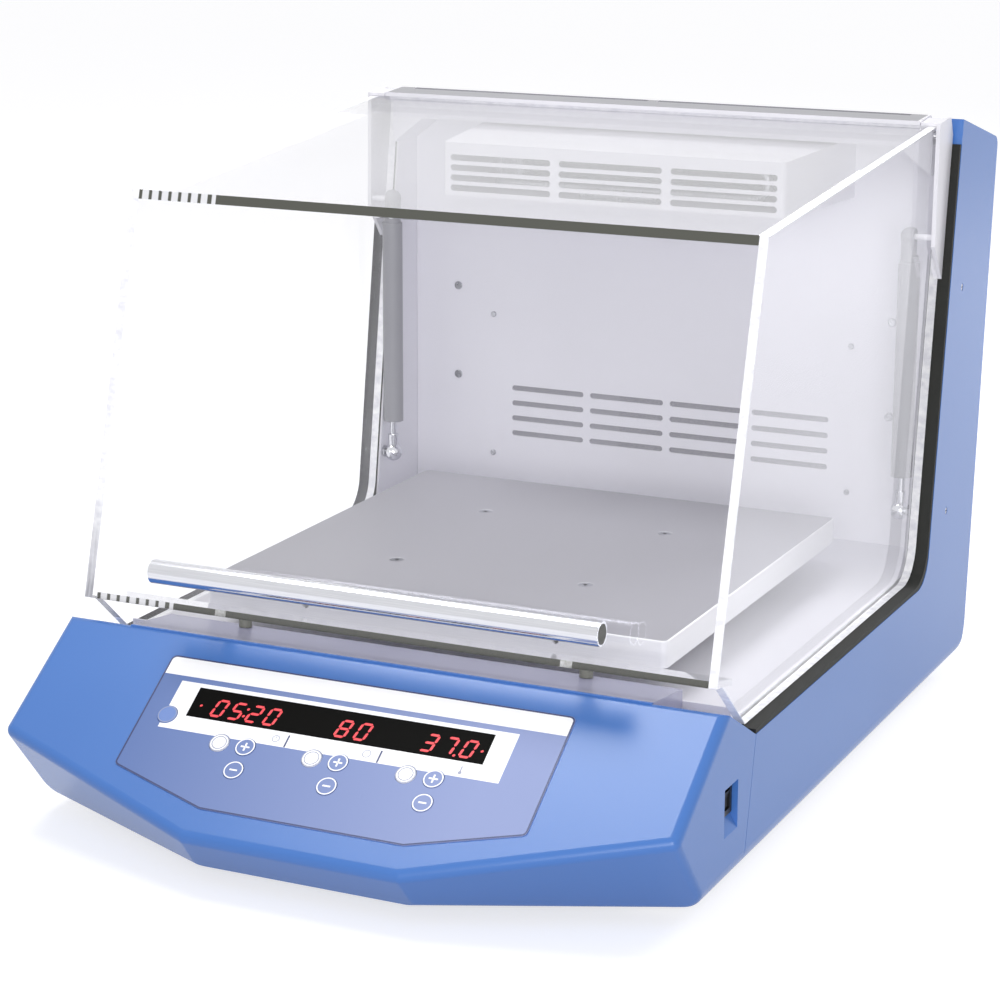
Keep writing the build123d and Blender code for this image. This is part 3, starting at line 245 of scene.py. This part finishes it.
# where a finish, a painted shade or a painted light changes within one piece: metres in the frame, or the
# upright share of a normal
zones = {"film": (-0.142, 0.10), "trayTopShaded": 0.94, "ledgeFront": -0.2221, "ledgeHalf": 0.2166,
         "stripUp": 0.7, "stripHalf": 0.2098, "coverInside": -0.5,
         "paintedShadeLeft": -0.2, "paintedShadeAhead": -0.185, "paintedShadeGrey": (0.21, 0.135),
         "toothPitch": 0.0075, "teeth": (-0.165, -0.150), "clearHalf": (0.1185, 0.1265), "clearBelow": 0.2}


def makeFilm():
    # matt polyester film whose colour runs from slate blue at the left to a paler lilac at the right
    material, tree, shader, where = newMaterial("printedPolyesterFilm", Roughness=0.4, Specular_IOR_Level=0.2)
    across = spread(tree, axesOf(tree, where)["X"], *zones["film"])
    ramp = addNode(tree, "ShaderNodeValToRGB", {"Fac": across})
    ramp.color_ramp.elements[0].color = linear("#6077ac")
    ramp.color_ramp.elements[1].color = linear("#8f9cc8")
    tree.links.new(ramp.outputs["Color"], shader.inputs["Base Color"])
    addBump(tree, shader, noiseAt(tree, where, 0.5, 2.0), 0.004)
    return material


def makeTrayMetal():
    # aluminium sheet with faint rolling lines, in a lit and a shaded copy: its top painted grey as shade, its
    # folded skirt painted brighter as lit from the front
    material, tree, shader, where = newMaterial("anodisedAluminium", Metallic=0.15)
    lines = noiseAt(tree, where, 0.9, 4.0, (0.03, 1, 1))
    # painted shade: faces that look up take the darker grey, the rest the painted lit white
    top = isAbove(tree, normalOf(tree)["Z"], zones["trayTopShaded"])
    litSkirt = mixColours(tree, lines, linear("#f0f0f4"), linear("#f6f6f9"))
    shadedTop = mixColours(tree, lines, linear("#a8a7af"), linear("#adacb4"))
    tree.links.new(masked(tree, top, litSkirt, shadedTop), shader.inputs["Base Color"])
    tree.links.new(spread(tree, lines, 0.0, 1.0, 0.4, 0.6), shader.inputs["Roughness"])
    addBump(tree, shader, lines, 0.01, 0.5)
    return material


def makeHousingEnamel():
    # the same enamel, with the ledge behind the crest painted a pale lilac grey as a painted reflection of
    # the white interior
    material, tree, shader, where = newMaterial("satinEnamelLedgeReflection", Roughness=enamel["roughness"],
                                                **satin)
    axes = axesOf(tree, where)
    paintedReflectionArea = product(tree, isAbove(tree, axes["Y"], zones["ledgeFront"]),
                    isBelow(tree, axes["aside"], zones["ledgeHalf"]))
    blue = coatColour(tree, where, enamel["light"], enamel["dark"])
    # painted reflection: pale lilac grey where the ledge mirrors the white chamber
    paintedPaleLight = coatColour(tree, where, "#acacc4", "#a3a3bd")
    tree.links.new(masked(tree, paintedReflectionArea, blue, paintedPaleLight), shader.inputs["Base Color"])
    addBump(tree, shader, noiseAt(tree, where, 1.6, 3.0), 0.012)
    return material


def makeBracketCoat():
    # bright white powder coat; the upper face of the strip over the hinge is bare grey aluminium
    material, tree, shader, where = newMaterial("powderCoatBrightWhite", Roughness=0.35)
    strip = product(tree, isAbove(tree, normalOf(tree)["Z"], zones["stripUp"]),
                    isBelow(tree, axesOf(tree, where)["aside"], zones["stripHalf"]))
    white = coatColour(tree, where, "#e6e5eb", "#e2e1e7", 60)
    lines = noiseAt(tree, where, 0.8, 4.0, (0.02, 1, 1))
    grey = mixColours(tree, lines, linear("#8b8b91"), linear("#95959b"))
    tree.links.new(masked(tree, strip, white, grey), shader.inputs["Base Color"])
    addBump(tree, shader, noiseAt(tree, where, 1.6, 3.0), 0.012)
    return material


def makeRearEnamel():
    # the rear cover is enamelled outside only; its inner face is grey primer, as the vents show
    material, tree, shader, where = newMaterial("satinEnamelOverPrimer", Roughness=enamel["roughness"],
                                                **satin)
    inside = isBelow(tree, normalOf(tree)["Y"], zones["coverInside"])
    tree.links.new(mixColours(tree, inside, linear(enamel["light"]), linear("#a2a1a8")),
                   shader.inputs["Base Color"])
    addBump(tree, shader, noiseAt(tree, where, 1.6, 3.0), 0.012)
    return material


def makeAcrylic():
    # cast acrylic sheet, flame polished. Each of its two surfaces reflects 4 % face on and more at a
    # slant, as (1 - cos)^5, and lets the rest through. What it reflects is mostly mirror, a little haze
    material, tree, shader, where = newMaterial("castAcrylic", Roughness=0.03, IOR=1.49, Metallic=0.7)
    shader.inputs["Base Color"].default_value = linear("#f6f6fa")
    slant = addNode(tree, "ShaderNodeLayerWeight", inputs={"Blend": 0.5}).outputs["Facing"]
    steep = addNode(tree, "ShaderNodeMath", {0: slant}, {1: 5.0}, operation="POWER").outputs[0]
    gloss = spread(tree, steep, 0.0, 1.0, 0.04, 1.0)
    haze = spread(tree, noiseAt(tree, where, 90, 1.0), 0.0, 1.0, 0.004, 0.014)
    alpha = addNode(tree, "ShaderNodeMath", {0: gloss, 1: haze}, operation="ADD", use_clamp=True)
    tree.links.new(alpha.outputs[0], shader.inputs["Alpha"])
    return material


def makeBrightEdge():
    # sawn and bonded acrylic edge that gathers the light of the sheet, painted in as white with small clear
    # flecks and a faint glow;
    # the left front edge gathers less towards its foot, where that painted shade is grey streaks
    material, tree, shader, where = newMaterial("acrylicEdgePaintedGlow", Roughness=0.2, IOR=1.49)
    flecks = noiseAt(tree, where, 7, 2.0, (1, 1.6, 1.6))
    paintedGlowWhite = mixColours(tree, flecks, linear("#dcdce4"), linear("#fbfbfd"))
    streaks = noiseAt(tree, where, 5, 3.0, (3, 1, 0.15))
    paintedShadeGrey = mixColours(tree, streaks, linear("#6d6d77"), linear("#b4b4bc"))
    axes = axesOf(tree, where)
    # painted shade: the left front edge turns grey towards its foot
    share = product(tree, isBelow(tree, axes["X"], zones["paintedShadeLeft"]),
                    isBelow(tree, axes["Y"], zones["paintedShadeAhead"]), spread(tree, axes["Z"], *zones["paintedShadeGrey"]))
    tree.links.new(masked(tree, share, paintedGlowWhite, paintedShadeGrey), shader.inputs["Base Color"])
    # painted glow: the edge gives off a little white light, though it is no lamp
    shader.inputs["Emission Color"].default_value = linear("#ffffff")
    shader.inputs["Emission Strength"].default_value = 0.12
    return material


def makeDarkEdge():
    # the same edge looked into along the sheet: painted olive black as the shade seen along it, broken into
    # painted clear teeth of light near the left end, and the lower one also painted clear, as painted light,
    # above the two bumpers
    material, tree, shader, where = newMaterial("acrylicEdgePaintedShade", Roughness=0.15, IOR=1.49)
    axes = axesOf(tree, where)
    teeth = addNode(tree, "ShaderNodeMath", {0: axes["X"]}, {1: 2 * pi / zones["toothPitch"]},
                    operation="MULTIPLY")
    wave = addNode(tree, "ShaderNodeMath", {0: teeth.outputs[0]}, operation="SINE")
    near = spread(tree, axes["X"], *zones["teeth"], 0.0, 2.2)
    grown = addNode(tree, "ShaderNodeMath", {0: wave.outputs[0], 1: near}, operation="ADD", use_clamp=True)
    # painted shade with painted light: olive black, broken into clear teeth near the left end
    olive = mixColours(tree, grown.outputs[0], linear("#e6e6ea"), linear("#4f5049"))
    # painted light: a pale patch on the lower edge above each bumper
    inner, outer = zones["clearHalf"]
    gap = product(tree, isAbove(tree, axes["aside"], inner), isBelow(tree, axes["aside"], outer),
                  isBelow(tree, axes["Z"], zones["clearBelow"]))
    paintedPaleLight = mixColours(tree, noiseAt(tree, where, 2.5, 2.0), linear("#a2a29c"), linear("#dadadd"))
    tree.links.new(masked(tree, gap, olive, paintedPaleLight), shader.inputs["Base Color"])
    return material


def makeRed():
    # lit seven-segment digits behind the window
    material, tree, shader, where = newMaterial("displayRed", Roughness=0.4)
    shader.inputs["Base Color"].default_value = linear("#b81c28")
    shader.inputs["Emission Color"].default_value = linear("#ea2430")
    shader.inputs["Emission Strength"].default_value = 0.6
    addBump(tree, shader, noiseAt(tree, where, 0.5, 1.0), 0.002)
    return material


film, trayMetal, rearEnamel, acrylic = makeFilm(), makeTrayMetal(), makeRearEnamel(), makeAcrylic()
housingEnamel, bracketCoat = makeHousingEnamel(), makeBracketCoat()
paintedGlowEdge, shadedEdge, displayRed = makeBrightEdge(), makeDarkEdge(), makeRed()
nodeFinish = {
    blueEnamel: ["side_panel_left", "side_panel_right", "top_cover"],
    housingEnamel: ["front_housing"],
    supplyCase: ["power_supply"],
    rearEnamel: ["rear_cover"],
    whiteCoat: ["chamber_floor", "chamber_walls", "chamber_back", "air_box"],
    bracketCoat: ["hood_hinge_plates"],
    trayMetal: ["platform_tray"],
    stainless: ["hood_handle", "spring_rod_left", "spring_rod_right"],
    turned: ["ball_studs", "casing_screws", "crank_shaft", "drive_bearings", "handle_screws", "heater_coil",
             "hinge_pin", "idler_back", "idler_left", "idler_right", "platform_screws", "temperature_probe"],
    rolled: ["hinge_rail"],
    zinc: ["base_pan"],
    casting: ["carrier_plate", "drive_frame", "drive_pulley", "motor_pulley"],
    seal: ["hood_gaskets"],
    footRubber: ["feet", "rear_spacers", "drive_belt"],
    bumperRubber: ["hood_bumpers"],
    blackNylon: ["power_switch", "switch_rocker", "mains_inlet", "fan_drum"],
    tubePaint: ["spring_cylinder_left", "spring_cylinder_right"],
    motorPaint: ["fan_motor", "drive_motor"],
    boardGreen: ["control_board"],
    film: ["control_overlay", "key_time_up", "key_time_down", "key_speed_up", "key_speed_down", "key_heat_up",
           "key_heat_down"],
    keyBlue: ["key_hold"],
    inkWhite: ["key_time", "key_speed", "key_heat"],
    displayWindow: ["display_module"],
}
for finish, names in nodeFinish.items():
    for name in names:
        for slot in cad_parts[name].material_slots:
            slot.material = finish
print("finishes on the CAD nodes")


# ---- mesh helpers
def fixNormals(piece):
    # faces turned outwards on closed shells
    bpy.context.view_layer.objects.active = piece
    for other in bpy.context.selected_objects:
        other.select_set(False)
    piece.select_set(True)
    bpy.ops.object.mode_set(mode="EDIT")
    bpy.ops.mesh.select_all(action="SELECT")
    bpy.ops.mesh.normals_make_consistent(inside=False)
    bpy.ops.object.mode_set(mode="OBJECT")
    piece.select_set(False)


def newPiece(name, points, faces, materials, body, slot, faceMaterial=None):
    # flat shaded piece from closed shells, its points in millimetres on the shaker
    mesh = bpy.data.meshes.new(name)
    mesh.from_pydata(toScene(points).tolist(), [], [list(map(int, face)) for face in faces])
    for material in materials:
        mesh.materials.append(material)
    if faceMaterial is not None:
        mesh.polygons.foreach_set("material_index", np.asarray(faceMaterial, int))
    mesh.polygons.foreach_set("use_smooth", np.full(len(mesh.polygons), False))
    mesh.update()
    piece = bpy.data.objects.new(name, mesh)
    bpy.context.collection.objects.link(piece)
    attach(piece, body)
    fixNormals(piece)
    return piece


def quads(rows, columns, closeRows, closeColumns, first=0):
    # corner numbers of a grid of points, row by row
    r = np.arange(rows if closeRows else rows - 1)
    c = np.arange(columns if closeColumns else columns - 1)
    r, c = (part.ravel() for part in np.meshgrid(r, c, indexing="ij"))
    up, along = (r + 1) % rows, (c + 1) % columns
    return first + np.stack([r * columns + c, r * columns + along, up * columns + along, up * columns + c], 1)


def roundedOutline(corners, radii, steps=5):
    # each corner becomes an arc that touches both its sides: centre = corner + bisector * r / sin(half angle)
    corners = np.asarray(corners, float)
    before = np.roll(corners, 1, 0) - corners
    after = np.roll(corners, -1, 0) - corners
    before /= np.linalg.norm(before, axis=1)[:, None]
    after /= np.linalg.norm(after, axis=1)[:, None]
    half = np.arccos(np.clip((before * after).sum(1), -1, 1)) / 2
    radii = np.maximum(np.broadcast_to(radii, len(corners)), 1e-4)
    reach = (radii / np.tan(half))[:, None]
    bisector = before + after
    bisector /= np.linalg.norm(bisector, axis=1)[:, None]
    centre = corners + bisector * (radii / np.sin(half))[:, None]
    start, end = corners + before * reach - centre, corners + after * reach - centre
    turn = (pi - 2 * half)[:, None, None]
    t = np.linspace(0, 1, steps + 1)[None, :, None] * turn
    arc = (np.sin(turn - t) * start[:, None] + np.sin(t) * end[:, None]) / np.sin(turn)
    return (centre[:, None] + arc).reshape(-1, 2)


def inset(outline, distance):
    # every point of an anticlockwise outline moved inwards along the mean of its two side normals
    step = np.roll(outline, -1, 0) - outline
    normal = np.stack([-step[:, 1], step[:, 0]], 1)
    normal /= np.maximum(np.linalg.norm(normal, axis=1), 1e-9)[:, None]
    mean = normal + np.roll(normal, 1, 0)
    mean /= np.maximum((mean * mean).sum(1), 1e-9)[:, None] / 2
    return outline + mean * distance


def turnsLeft(outline):
    # the outline in anticlockwise order
    area = np.cross(outline, np.roll(outline, -1, 0)).sum()
    return outline if area > 0 else outline[::-1]


def placed(rings, place):
    # the points of all the rings, each an outline and its level
    return np.concatenate([place(*ring.T, np.full(len(ring), level)) for ring, level in rings])


def prism(outline, low, high, bevel, place):
    # flat outline carried from low to high, with its rims bevelled: four rings of points and two caps
    outline = turnsLeft(np.asarray(outline, float))
    small = inset(outline, bevel)
    rings = [(small, low), (outline, low + bevel), (outline, high - bevel), (small, high)]
    count = len(outline)
    faces = quads(4, count, False, True).tolist()
    faces.append(list(range(3 * count, 4 * count)))
    faces.append(list(range(count))[::-1])
    return placed(rings, place), faces


def ringPlate(outer, inner, low, high, place):
    # flat ring between two outlines with the same number of points
    rings = [(outer, low), (outer, high), (inner, high), (inner, low)]
    return placed(rings, place), quads(4, len(outer), True, True).tolist()


def joined(parts):
    # several (points, faces) lists as one
    points, faces, first = [], [], 0
    for some, rows in parts:
        points.append(some)
        faces += [[corner + first for corner in row] for row in rows]
        first += len(some)
    return np.concatenate(points), faces


def rectangle(left, right, top, foot):
    return np.array([(left, top), (right, top), (right, foot), (left, foot)])


def circle(x, y, radius, count=48):
    turn = np.linspace(0, 2 * pi, count, endpoint=False)
    return np.stack([x + radius * np.cos(turn), y + radius * np.sin(turn)], 1)


# ---- print on the control panel, in millimetres across and down from the crest
panel = {"crest": (123.2, 111.3), "slope": 34.2, "halfWidth": 142.0, "top": 19.0, "side": 108.0, "tip": 129.7,
         "tipHalf": 70.1, "corner": 4.0, "tipCorner": 0.5, "film": 0.6, "line": 1.1, "lineIn": 0.15,
         "bandGap": 0.1, "bandFoot": 34.0, "bandCorner": 0.3, "label": (-126.0, 111.3, 38.0, 75.5),
         "window": (-111.0, 96.5, 41.0, 64.1), "ticks": (-35.0, 29.5), "tick": (0.6, 66.0, 75.3),
         "dials": ((-43.0, 70.0, 2.6), (20.5, 70.0, 2.9)), "dialLine": 0.5,
         "hand": (-43.2, -42.8, 68.2, 70.2), "bulb": (84.5, 72.4, 1.2), "stem": (84.1, 84.9, 67.6, 71.6)}
# levels of a print against what carries it, the same for a second print on the first, and their bevel
ink = {"first": (-0.02, 0.05), "second": (0.03, 0.09), "rim": 0.01}
keys = {"key_time": (-78.8, 80.0), "key_time_up": (-60.2, 80.0), "key_time_down": (-60.2, 98.1),
        "key_speed": (-13.3, 80.0), "key_speed_up": (5.0, 80.0), "key_speed_down": (5.0, 98.1),
        "key_heat": (51.4, 80.0), "key_heat_up": (70.1, 80.0), "key_heat_down": (70.1, 98.1),
        "key_hold": (-123.7, 65.4)}
cap = {"radius": 6.6, "gap": 0.35, "proud": 1.0, "firstRow": 80.0, "holdRing": (6.3, 5.8),
       "blueRing": (6.4, 5.6), "whiteRings": ((5.0, 4.4), (6.55, 6.0)), "barHalf": 0.6, "minusHalf": 2.7,
       "plusHalf": 3.1, "barCorner": 0.25}


def onSlope(x, down, proud):
    # across, down from the crest and out of the control slope
    lean = radians(panel["slope"])
    y, z = panel["crest"]
    return np.stack([x, y - down * cos(lean) - proud * sin(lean),
                     z - down * sin(lean) + proud * cos(lean)], -1)


def levelsOn(carrier, steps):
    return [carrier + step for step in steps]


def printed(outline, levels):
    return prism(outline, *levels, ink["rim"], onSlope)


def printedRing(x, down, outer, inner, levels, count=48):
    return ringPlate(circle(x, down, outer, count), circle(x, down, inner, count), *levels, onSlope)


def printPiece(name, parts, material, body="root", slot="printed_film"):
    newPiece(name, *joined(parts), [material], body, slot)


def makePanelPrint():
    levels, second = (levelsOn(panel["film"], ink[name]) for name in ("first", "second"))
    wide, tipWide = panel["halfWidth"], panel["tipHalf"]
    corners = [(-wide, panel["top"]), (wide, panel["top"]), (wide, panel["side"]), (tipWide, panel["tip"]),
               (-tipWide, panel["tip"]), (-wide, panel["side"])]
    rounds = [panel["corner"]] * 3 + [panel["tipCorner"]] * 2 + [panel["corner"]]
    edge = turnsLeft(roundedOutline(corners, rounds))
    outer, inner = (inset(edge, distance) for distance in (panel["lineIn"], panel["lineIn"] + panel["line"]))
    printPiece("panel_outline", [ringPlate(outer, inner, *levels, onSlope)], inkNavy)

    rim = panel["line"] + panel["bandGap"]
    band = roundedOutline(rectangle(rim - wide, wide - rim, panel["top"] + rim, panel["bandFoot"]),
                          [panel["corner"] - 1] * 2 + [panel["bandCorner"]] * 2)
    left, right, top, foot = panel["label"]
    winLeft, winRight, winTop, winFoot = panel["window"]
    clear = cap["radius"] + cap["gap"]
    # the label's foot is cut round the first row of keys, and its left side round the hold key
    below = [(winLeft, winFoot), (winLeft, foot)]
    for x, down in sorted(place for place in keys.values() if place[1] == cap["firstRow"]):
        reach = np.arcsin(np.clip((down - foot) / clear, -1, 1))
        turn = np.linspace(pi + reach, 2 * pi - reach, 13)
        below += list(zip(x + clear * np.cos(turn), down + clear * np.sin(turn)))
    below += [(right, foot), (right, winFoot)]
    holdX, holdDown = keys["key_hold"]
    swing = np.linspace(-0.5 * pi, 0.5 * pi, 17)
    notch = [(holdX + clear * cos(t), holdDown + clear * sin(t)) for t in swing]
    beside = [(left, top), (winLeft, top), (winLeft, foot), (left, foot), (left, notch[-1][1]), *notch[::-1],
              (left, notch[0][1])]
    above, after = rectangle(winLeft, winRight, top, winTop), rectangle(winRight, right, top, winFoot)
    shapes = (band, beside, below, above, after)
    printPiece("panel_print_white", [printed(shape, levels) for shape in shapes], inkWhite)

    half, high, low = panel["tick"]
    ticks = [printed(rectangle(x - half, x + half, high, low), second) for x in panel["ticks"]]
    printPiece("panel_ticks", ticks, inkNavy)

    marks = [printedRing(x, down, radius, radius - panel["dialLine"], second, 32)
             for x, down, radius in panel["dials"]]
    marks += [printed(shape, second) for shape in (rectangle(*panel["hand"]), circle(*panel["bulb"], 24),
                                                   rectangle(*panel["stem"]))]
    printPiece("panel_marks", marks, inkGrey)
    print("panel print")


def makeKeyPrint():
    levels = levelsOn(cap["proud"], ink["first"])
    for name, (x, down) in keys.items():
        if name == "key_hold":
            rings = [printedRing(x, down, *cap["holdRing"], levels)]
            printPiece(name + "_ring", rings, inkGrey, name, "key_blue")
        elif name.endswith(("_up", "_down")):
            thin, minus, plus = cap["barHalf"], cap["minusHalf"], cap["plusHalf"]
            bars = [(minus, thin)] if name.endswith("_down") else [(plus, thin), (thin, plus)]
            parts = [printedRing(x, down, *cap["blueRing"], levels)]
            for wide, tall in bars:
                bar = rectangle(x - wide, x + wide, down - tall, down + tall)
                parts.append(printed(roundedOutline(bar, cap["barCorner"], 3), levels))
            printPiece(name + "_symbol", parts, inkWhite, name, "key_white")
        else:
            rings = [printedRing(x, down, *radii, levels) for radii in cap["whiteRings"]]
            printPiece(name + "_symbol", rings, inkGrey, name, "key_white")
    print("key symbols")


makePanelPrint()
makeKeyPrint()

# ---- red digits
digits = {"height": 14.0, "width": 8.6, "stroke": 1.75, "slant": 11.0, "gap": 0.25, "middle": 54.6,
          "window": 0.62, "levels": (-0.04, 0.02),
          "words": (("05:20", -71.5, 12.6), ("80", 4.8, 13.4), ("37.0", 70.5, 13.2)),
          "dots": (-104.0, 92.5), "dotRadius": 0.9, "colonHalf": 2.8, "pointUp": 0.8, "pointRadius": 0.95}
segments = {"0": "abcdef", "2": "abdeg", "3": "abcdg", "5": "acdfg", "7": "abc", "8": "abcdefg"}


def segmentShape(letter):
    # a bar with pointed ends, in digit units: x right, y down
    wide, tall, stroke = digits["width"] / 2, digits["height"] / 2, digits["stroke"] / 2
    ends = {"a": ((-wide, -tall), (wide, -tall)), "g": ((-wide, 0), (wide, 0)),
            "d": ((-wide, tall), (wide, tall)), "f": ((-wide, -tall), (-wide, 0)),
            "b": ((wide, -tall), (wide, 0)), "e": ((-wide, 0), (-wide, tall)),
            "c": ((wide, 0), (wide, tall))}[letter]
    start, end = (np.array(end) * (1 - stroke / wide * np.array([1, 0]) - stroke / tall * np.array([0, 1]))
                  for end in ends)
    way = (end - start) / np.linalg.norm(end - start)
    side = np.array([-way[1], way[0]]) * stroke
    start, end = start + way * digits["gap"], end - way * digits["gap"]
    return np.array([start, start + way * stroke + side, end - way * stroke + side, end,
                     end - way * stroke - side, start + way * stroke - side])


def makeDigits():
    levels = levelsOn(digits["window"], digits["levels"])
    lean = tan(radians(digits["slant"]))
    parts = []

    def lay(shape, x):
        shape = np.array(shape, float)
        shape[:, 0] += x - shape[:, 1] * lean
        shape[:, 1] += digits["middle"]
        parts.append(printed(shape, levels))

    for word, centre, pitch in digits["words"]:
        count = sum(letter.isdigit() for letter in word)
        x = centre - pitch * (count - 1) / 2
        for letter in word:
            if letter == ":":
                for y in (-digits["colonHalf"], digits["colonHalf"]):
                    lay(circle(0, y, digits["pointRadius"], 16), x - pitch / 2)
            elif letter == ".":
                point = digits["height"] / 2 - digits["pointUp"]
                lay(circle(0, point, digits["pointRadius"], 16), x - pitch / 2)
            else:
                for part in segments[letter]:
                    lay(segmentShape(part), x)
                x += pitch
    for x in digits["dots"]:
        lay(circle(0, 0, digits["dotRadius"], 16), x)
    printPiece("display_digits", parts, displayRed, "root", "display_window")
    print("display digits")


makeDigits()

# ---- clear hood, made of separate sheets; places are (y, z)
hood = {"half": 223.4, "sheet": 6.0, "front": (128.6, 123.7), "brow": (200.0, 386.7), "rear": (573.0, 415.2),
        "topRear": (566.0, 414.9), "ear": (579.3, 404.0), "corner": (533.4, 86.1), "chinFoot": (179.0, 86.1),
        "chinCut": (137.5, 122.5), "cheekRounds": (0.5, 0.5, 0.5, 2.0, 28.0, 2.0, 1.0), "arcSteps": 8,
        "cheek": ("front", "brow", "rear", "ear", "corner", "chinFoot", "chinCut"),
        "lip": (134.9, 126.1), "lipLength": 38.0, "lipThick": 4.2, "lipSlope": 14.0,
        "bevel": 0.35, "bond": 0.06}


def sideView(y, z, x):
    return np.stack([x, y, z], -1)


def sheetFaces(outline, low, high, edgeIndex):
    # a sheet with material 0 on its faces and the given index on the edge that starts at each outline point
    outline, edgeIndex = np.asarray(outline, float), np.asarray(edgeIndex)
    if turnsLeft(outline) is not outline:
        outline, edgeIndex = outline[::-1], np.roll(edgeIndex[::-1], -1)
    points, faces = prism(outline, low, high, hood["bevel"], sideView)
    return points, faces, np.concatenate([np.tile(edgeIndex, 3), [0, 0]])


def makeHood():
    front, brow, topRear, lip = (np.array(hood[name]) for name in ("front", "brow", "topRear", "lip"))
    thick, bond, half = hood["sheet"], hood["bond"], hood["half"]
    inner = half - thick
    cheek = roundedOutline([hood[name] for name in hood["cheek"]], hood["cheekRounds"], hood["arcSteps"])
    sheets = []
    for side in (-1, 1):
        low, high = sorted((side * (inner + bond), side * half))
        sheets.append(sheetFaces(cheek, low, high, np.ones(len(cheek), int)))
    # the top sheet runs to the front face; its front end is looked into and is painted dark as shade
    rise = (brow - front) / np.linalg.norm(brow - front)
    run = (topRear - brow) / np.linalg.norm(topRear - brow)
    under = np.array([run[1], -run[0]]) * thick
    below = brow - rise * thick / rise[1]
    sheets.append(sheetFaces([brow, topRear, topRear + under, below], -inner, inner, [0, 1, 0, 2]))
    # the front sheet hangs below it
    inwards = np.array([rise[1], -rise[0]]) * thick
    foot, head = front + rise * bond, below - rise * bond
    sheets.append(sheetFaces([foot, head, head + inwards, foot + inwards], -inner, inner, [0, 0, 0, 2]))
    # the lip runs back from the foot of the front sheet
    slope = radians(hood["lipSlope"])
    back = np.array([cos(slope), -sin(slope)]) * hood["lipLength"]
    drop = np.array([-sin(slope), -cos(slope)]) * hood["lipThick"]
    sheets.append(sheetFaces([lip, lip + back, lip + back + drop, lip + drop], -inner, inner, [0, 1, 0, 2]))
    points, faces = joined([sheet[:2] for sheet in sheets])
    piece = newPiece("hood_sheets", points, faces, [acrylic, paintedGlowEdge, shadedEdge], "hood", "clear_acrylic",
                     np.concatenate([sheet[2] for sheet in sheets]))
    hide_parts("hood_shell")
    print("hood")


makeHood()

# ---- plugs in the ends of the handle
plugs = {"radius": 6.3, "reach": 156.7, "proud": 0.2, "thick": 0.8, "bevel": 0.15, "axis": (109.4, 154.8)}


def makePlugFaces():
    # shallow round caps; their outline (y, z) is carried along X
    parts = []
    for side in (-1, 1):
        ends = sorted((side * (plugs["reach"] + plugs["proud"]), side * (plugs["reach"] - plugs["thick"])))
        parts.append(prism(circle(*plugs["axis"], plugs["radius"]), *ends, plugs["bevel"], sideView))
    newPiece("handle_plug_faces", *joined(parts), [plugNylon], "hood", "black_plastic")
    print("handle plugs")


makePlugFaces()

# ---- filter mat behind the lower vents of the back wall
mat = {"half": 134.0, "low": 134.0, "high": 186.0, "gap": 0.05, "thick": 0.6, "corner": 6.0, "bevel": 0.1}


def makeFilterMat():
    # rounded plate close behind the wall; its outline (x, z) stands upright
    wallBack = (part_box("chamber_back")[1][1] - casing["front"]) * 1000

    def behindWall(x, z, level):
        return np.stack([x, wallBack + level, z], -1)

    outline = roundedOutline(rectangle(-mat["half"], mat["half"], mat["low"], mat["high"]), mat["corner"])
    points, faces = prism(outline, mat["gap"], mat["gap"] + mat["thick"], mat["bevel"], behindWall)
    newPiece("vent_filter_mat", points, faces, [filterMat], "root", "black_plastic")
    print("filter mat")


makeFilterMat()

# ---- studio: pale floor, white surroundings, soft lamps
studio = {"floor": "#bcbcc0", "shown": 0.66, "surround": "#ffffff", "fill": 0.52, "size": 12.0,
          "lamps": (("keyLamp", (1.1, -2.6, 0.7), 1.5, 44), ("sideLamp", (1.2, 2.3, 1.3), 0.9, 36),
                    ("topLamp", (-0.65, 0.0, 2.1), 0.85, 20)), "aim": (0, 0, 0.2)}


def seenShare(tree):
    # 1 for rays of the camera, of reflections and of what is seen through the hood; 0 for scattered light
    path = addNode(tree, "ShaderNodeLightPath").outputs
    seen = path["Is Camera Ray"]
    for kind in ("Is Glossy Ray", "Is Transmission Ray"):
        seen = addNode(tree, "ShaderNodeMath", {0: seen, 1: path[kind]}, operation="MAXIMUM").outputs[0]
    return seen


def makeStudio():
    floorMesh = bpy.data.meshes.new("studioFloor")
    reach = studio["size"]
    corners = [(-reach, -reach, 0), (reach, -reach, 0), (reach, reach, 0), (-reach, reach, 0)]
    floorMesh.from_pydata(corners, [], [(0, 1, 2, 3)])
    material, tree, shader, where = newMaterial("paperFloor", Roughness=0.9)
    shader.inputs["Base Color"].default_value = linear(studio["floor"])
    shader.inputs["Emission Color"].default_value = (1, 1, 1, 1)
    glow = spread(tree, seenShare(tree), 0.0, 1.0, 0.0, studio["shown"])
    tree.links.new(glow, shader.inputs["Emission Strength"])
    floorMesh.materials.append(material)
    floor = bpy.data.objects.new("studioFloor", floorMesh)
    bpy.context.collection.objects.link(floor)

    world = bpy.data.worlds.new("studioWorld")
    bpy.context.scene.world = world
    world.use_nodes = True
    tree = world.node_tree
    background = tree.nodes["Background"]
    background.inputs["Color"].default_value = linear(studio["surround"])
    light = spread(tree, seenShare(tree), 0.0, 1.0, studio["fill"], 1.0)
    tree.links.new(light, background.inputs["Strength"])

    for name, place, size, power in studio["lamps"]:
        data = bpy.data.lights.new(name, "AREA")
        data.size, data.energy = size, power
        lamp = bpy.data.objects.new(name, data)
        lamp.location = place
        lamp.rotation_euler = (Vector(studio["aim"]) - Vector(place)).to_track_quat("-Z", "Y").to_euler()
        bpy.context.collection.objects.link(lamp)
    bpy.context.scene.view_settings.view_transform = "Standard"
    print("studio")


makeStudio()
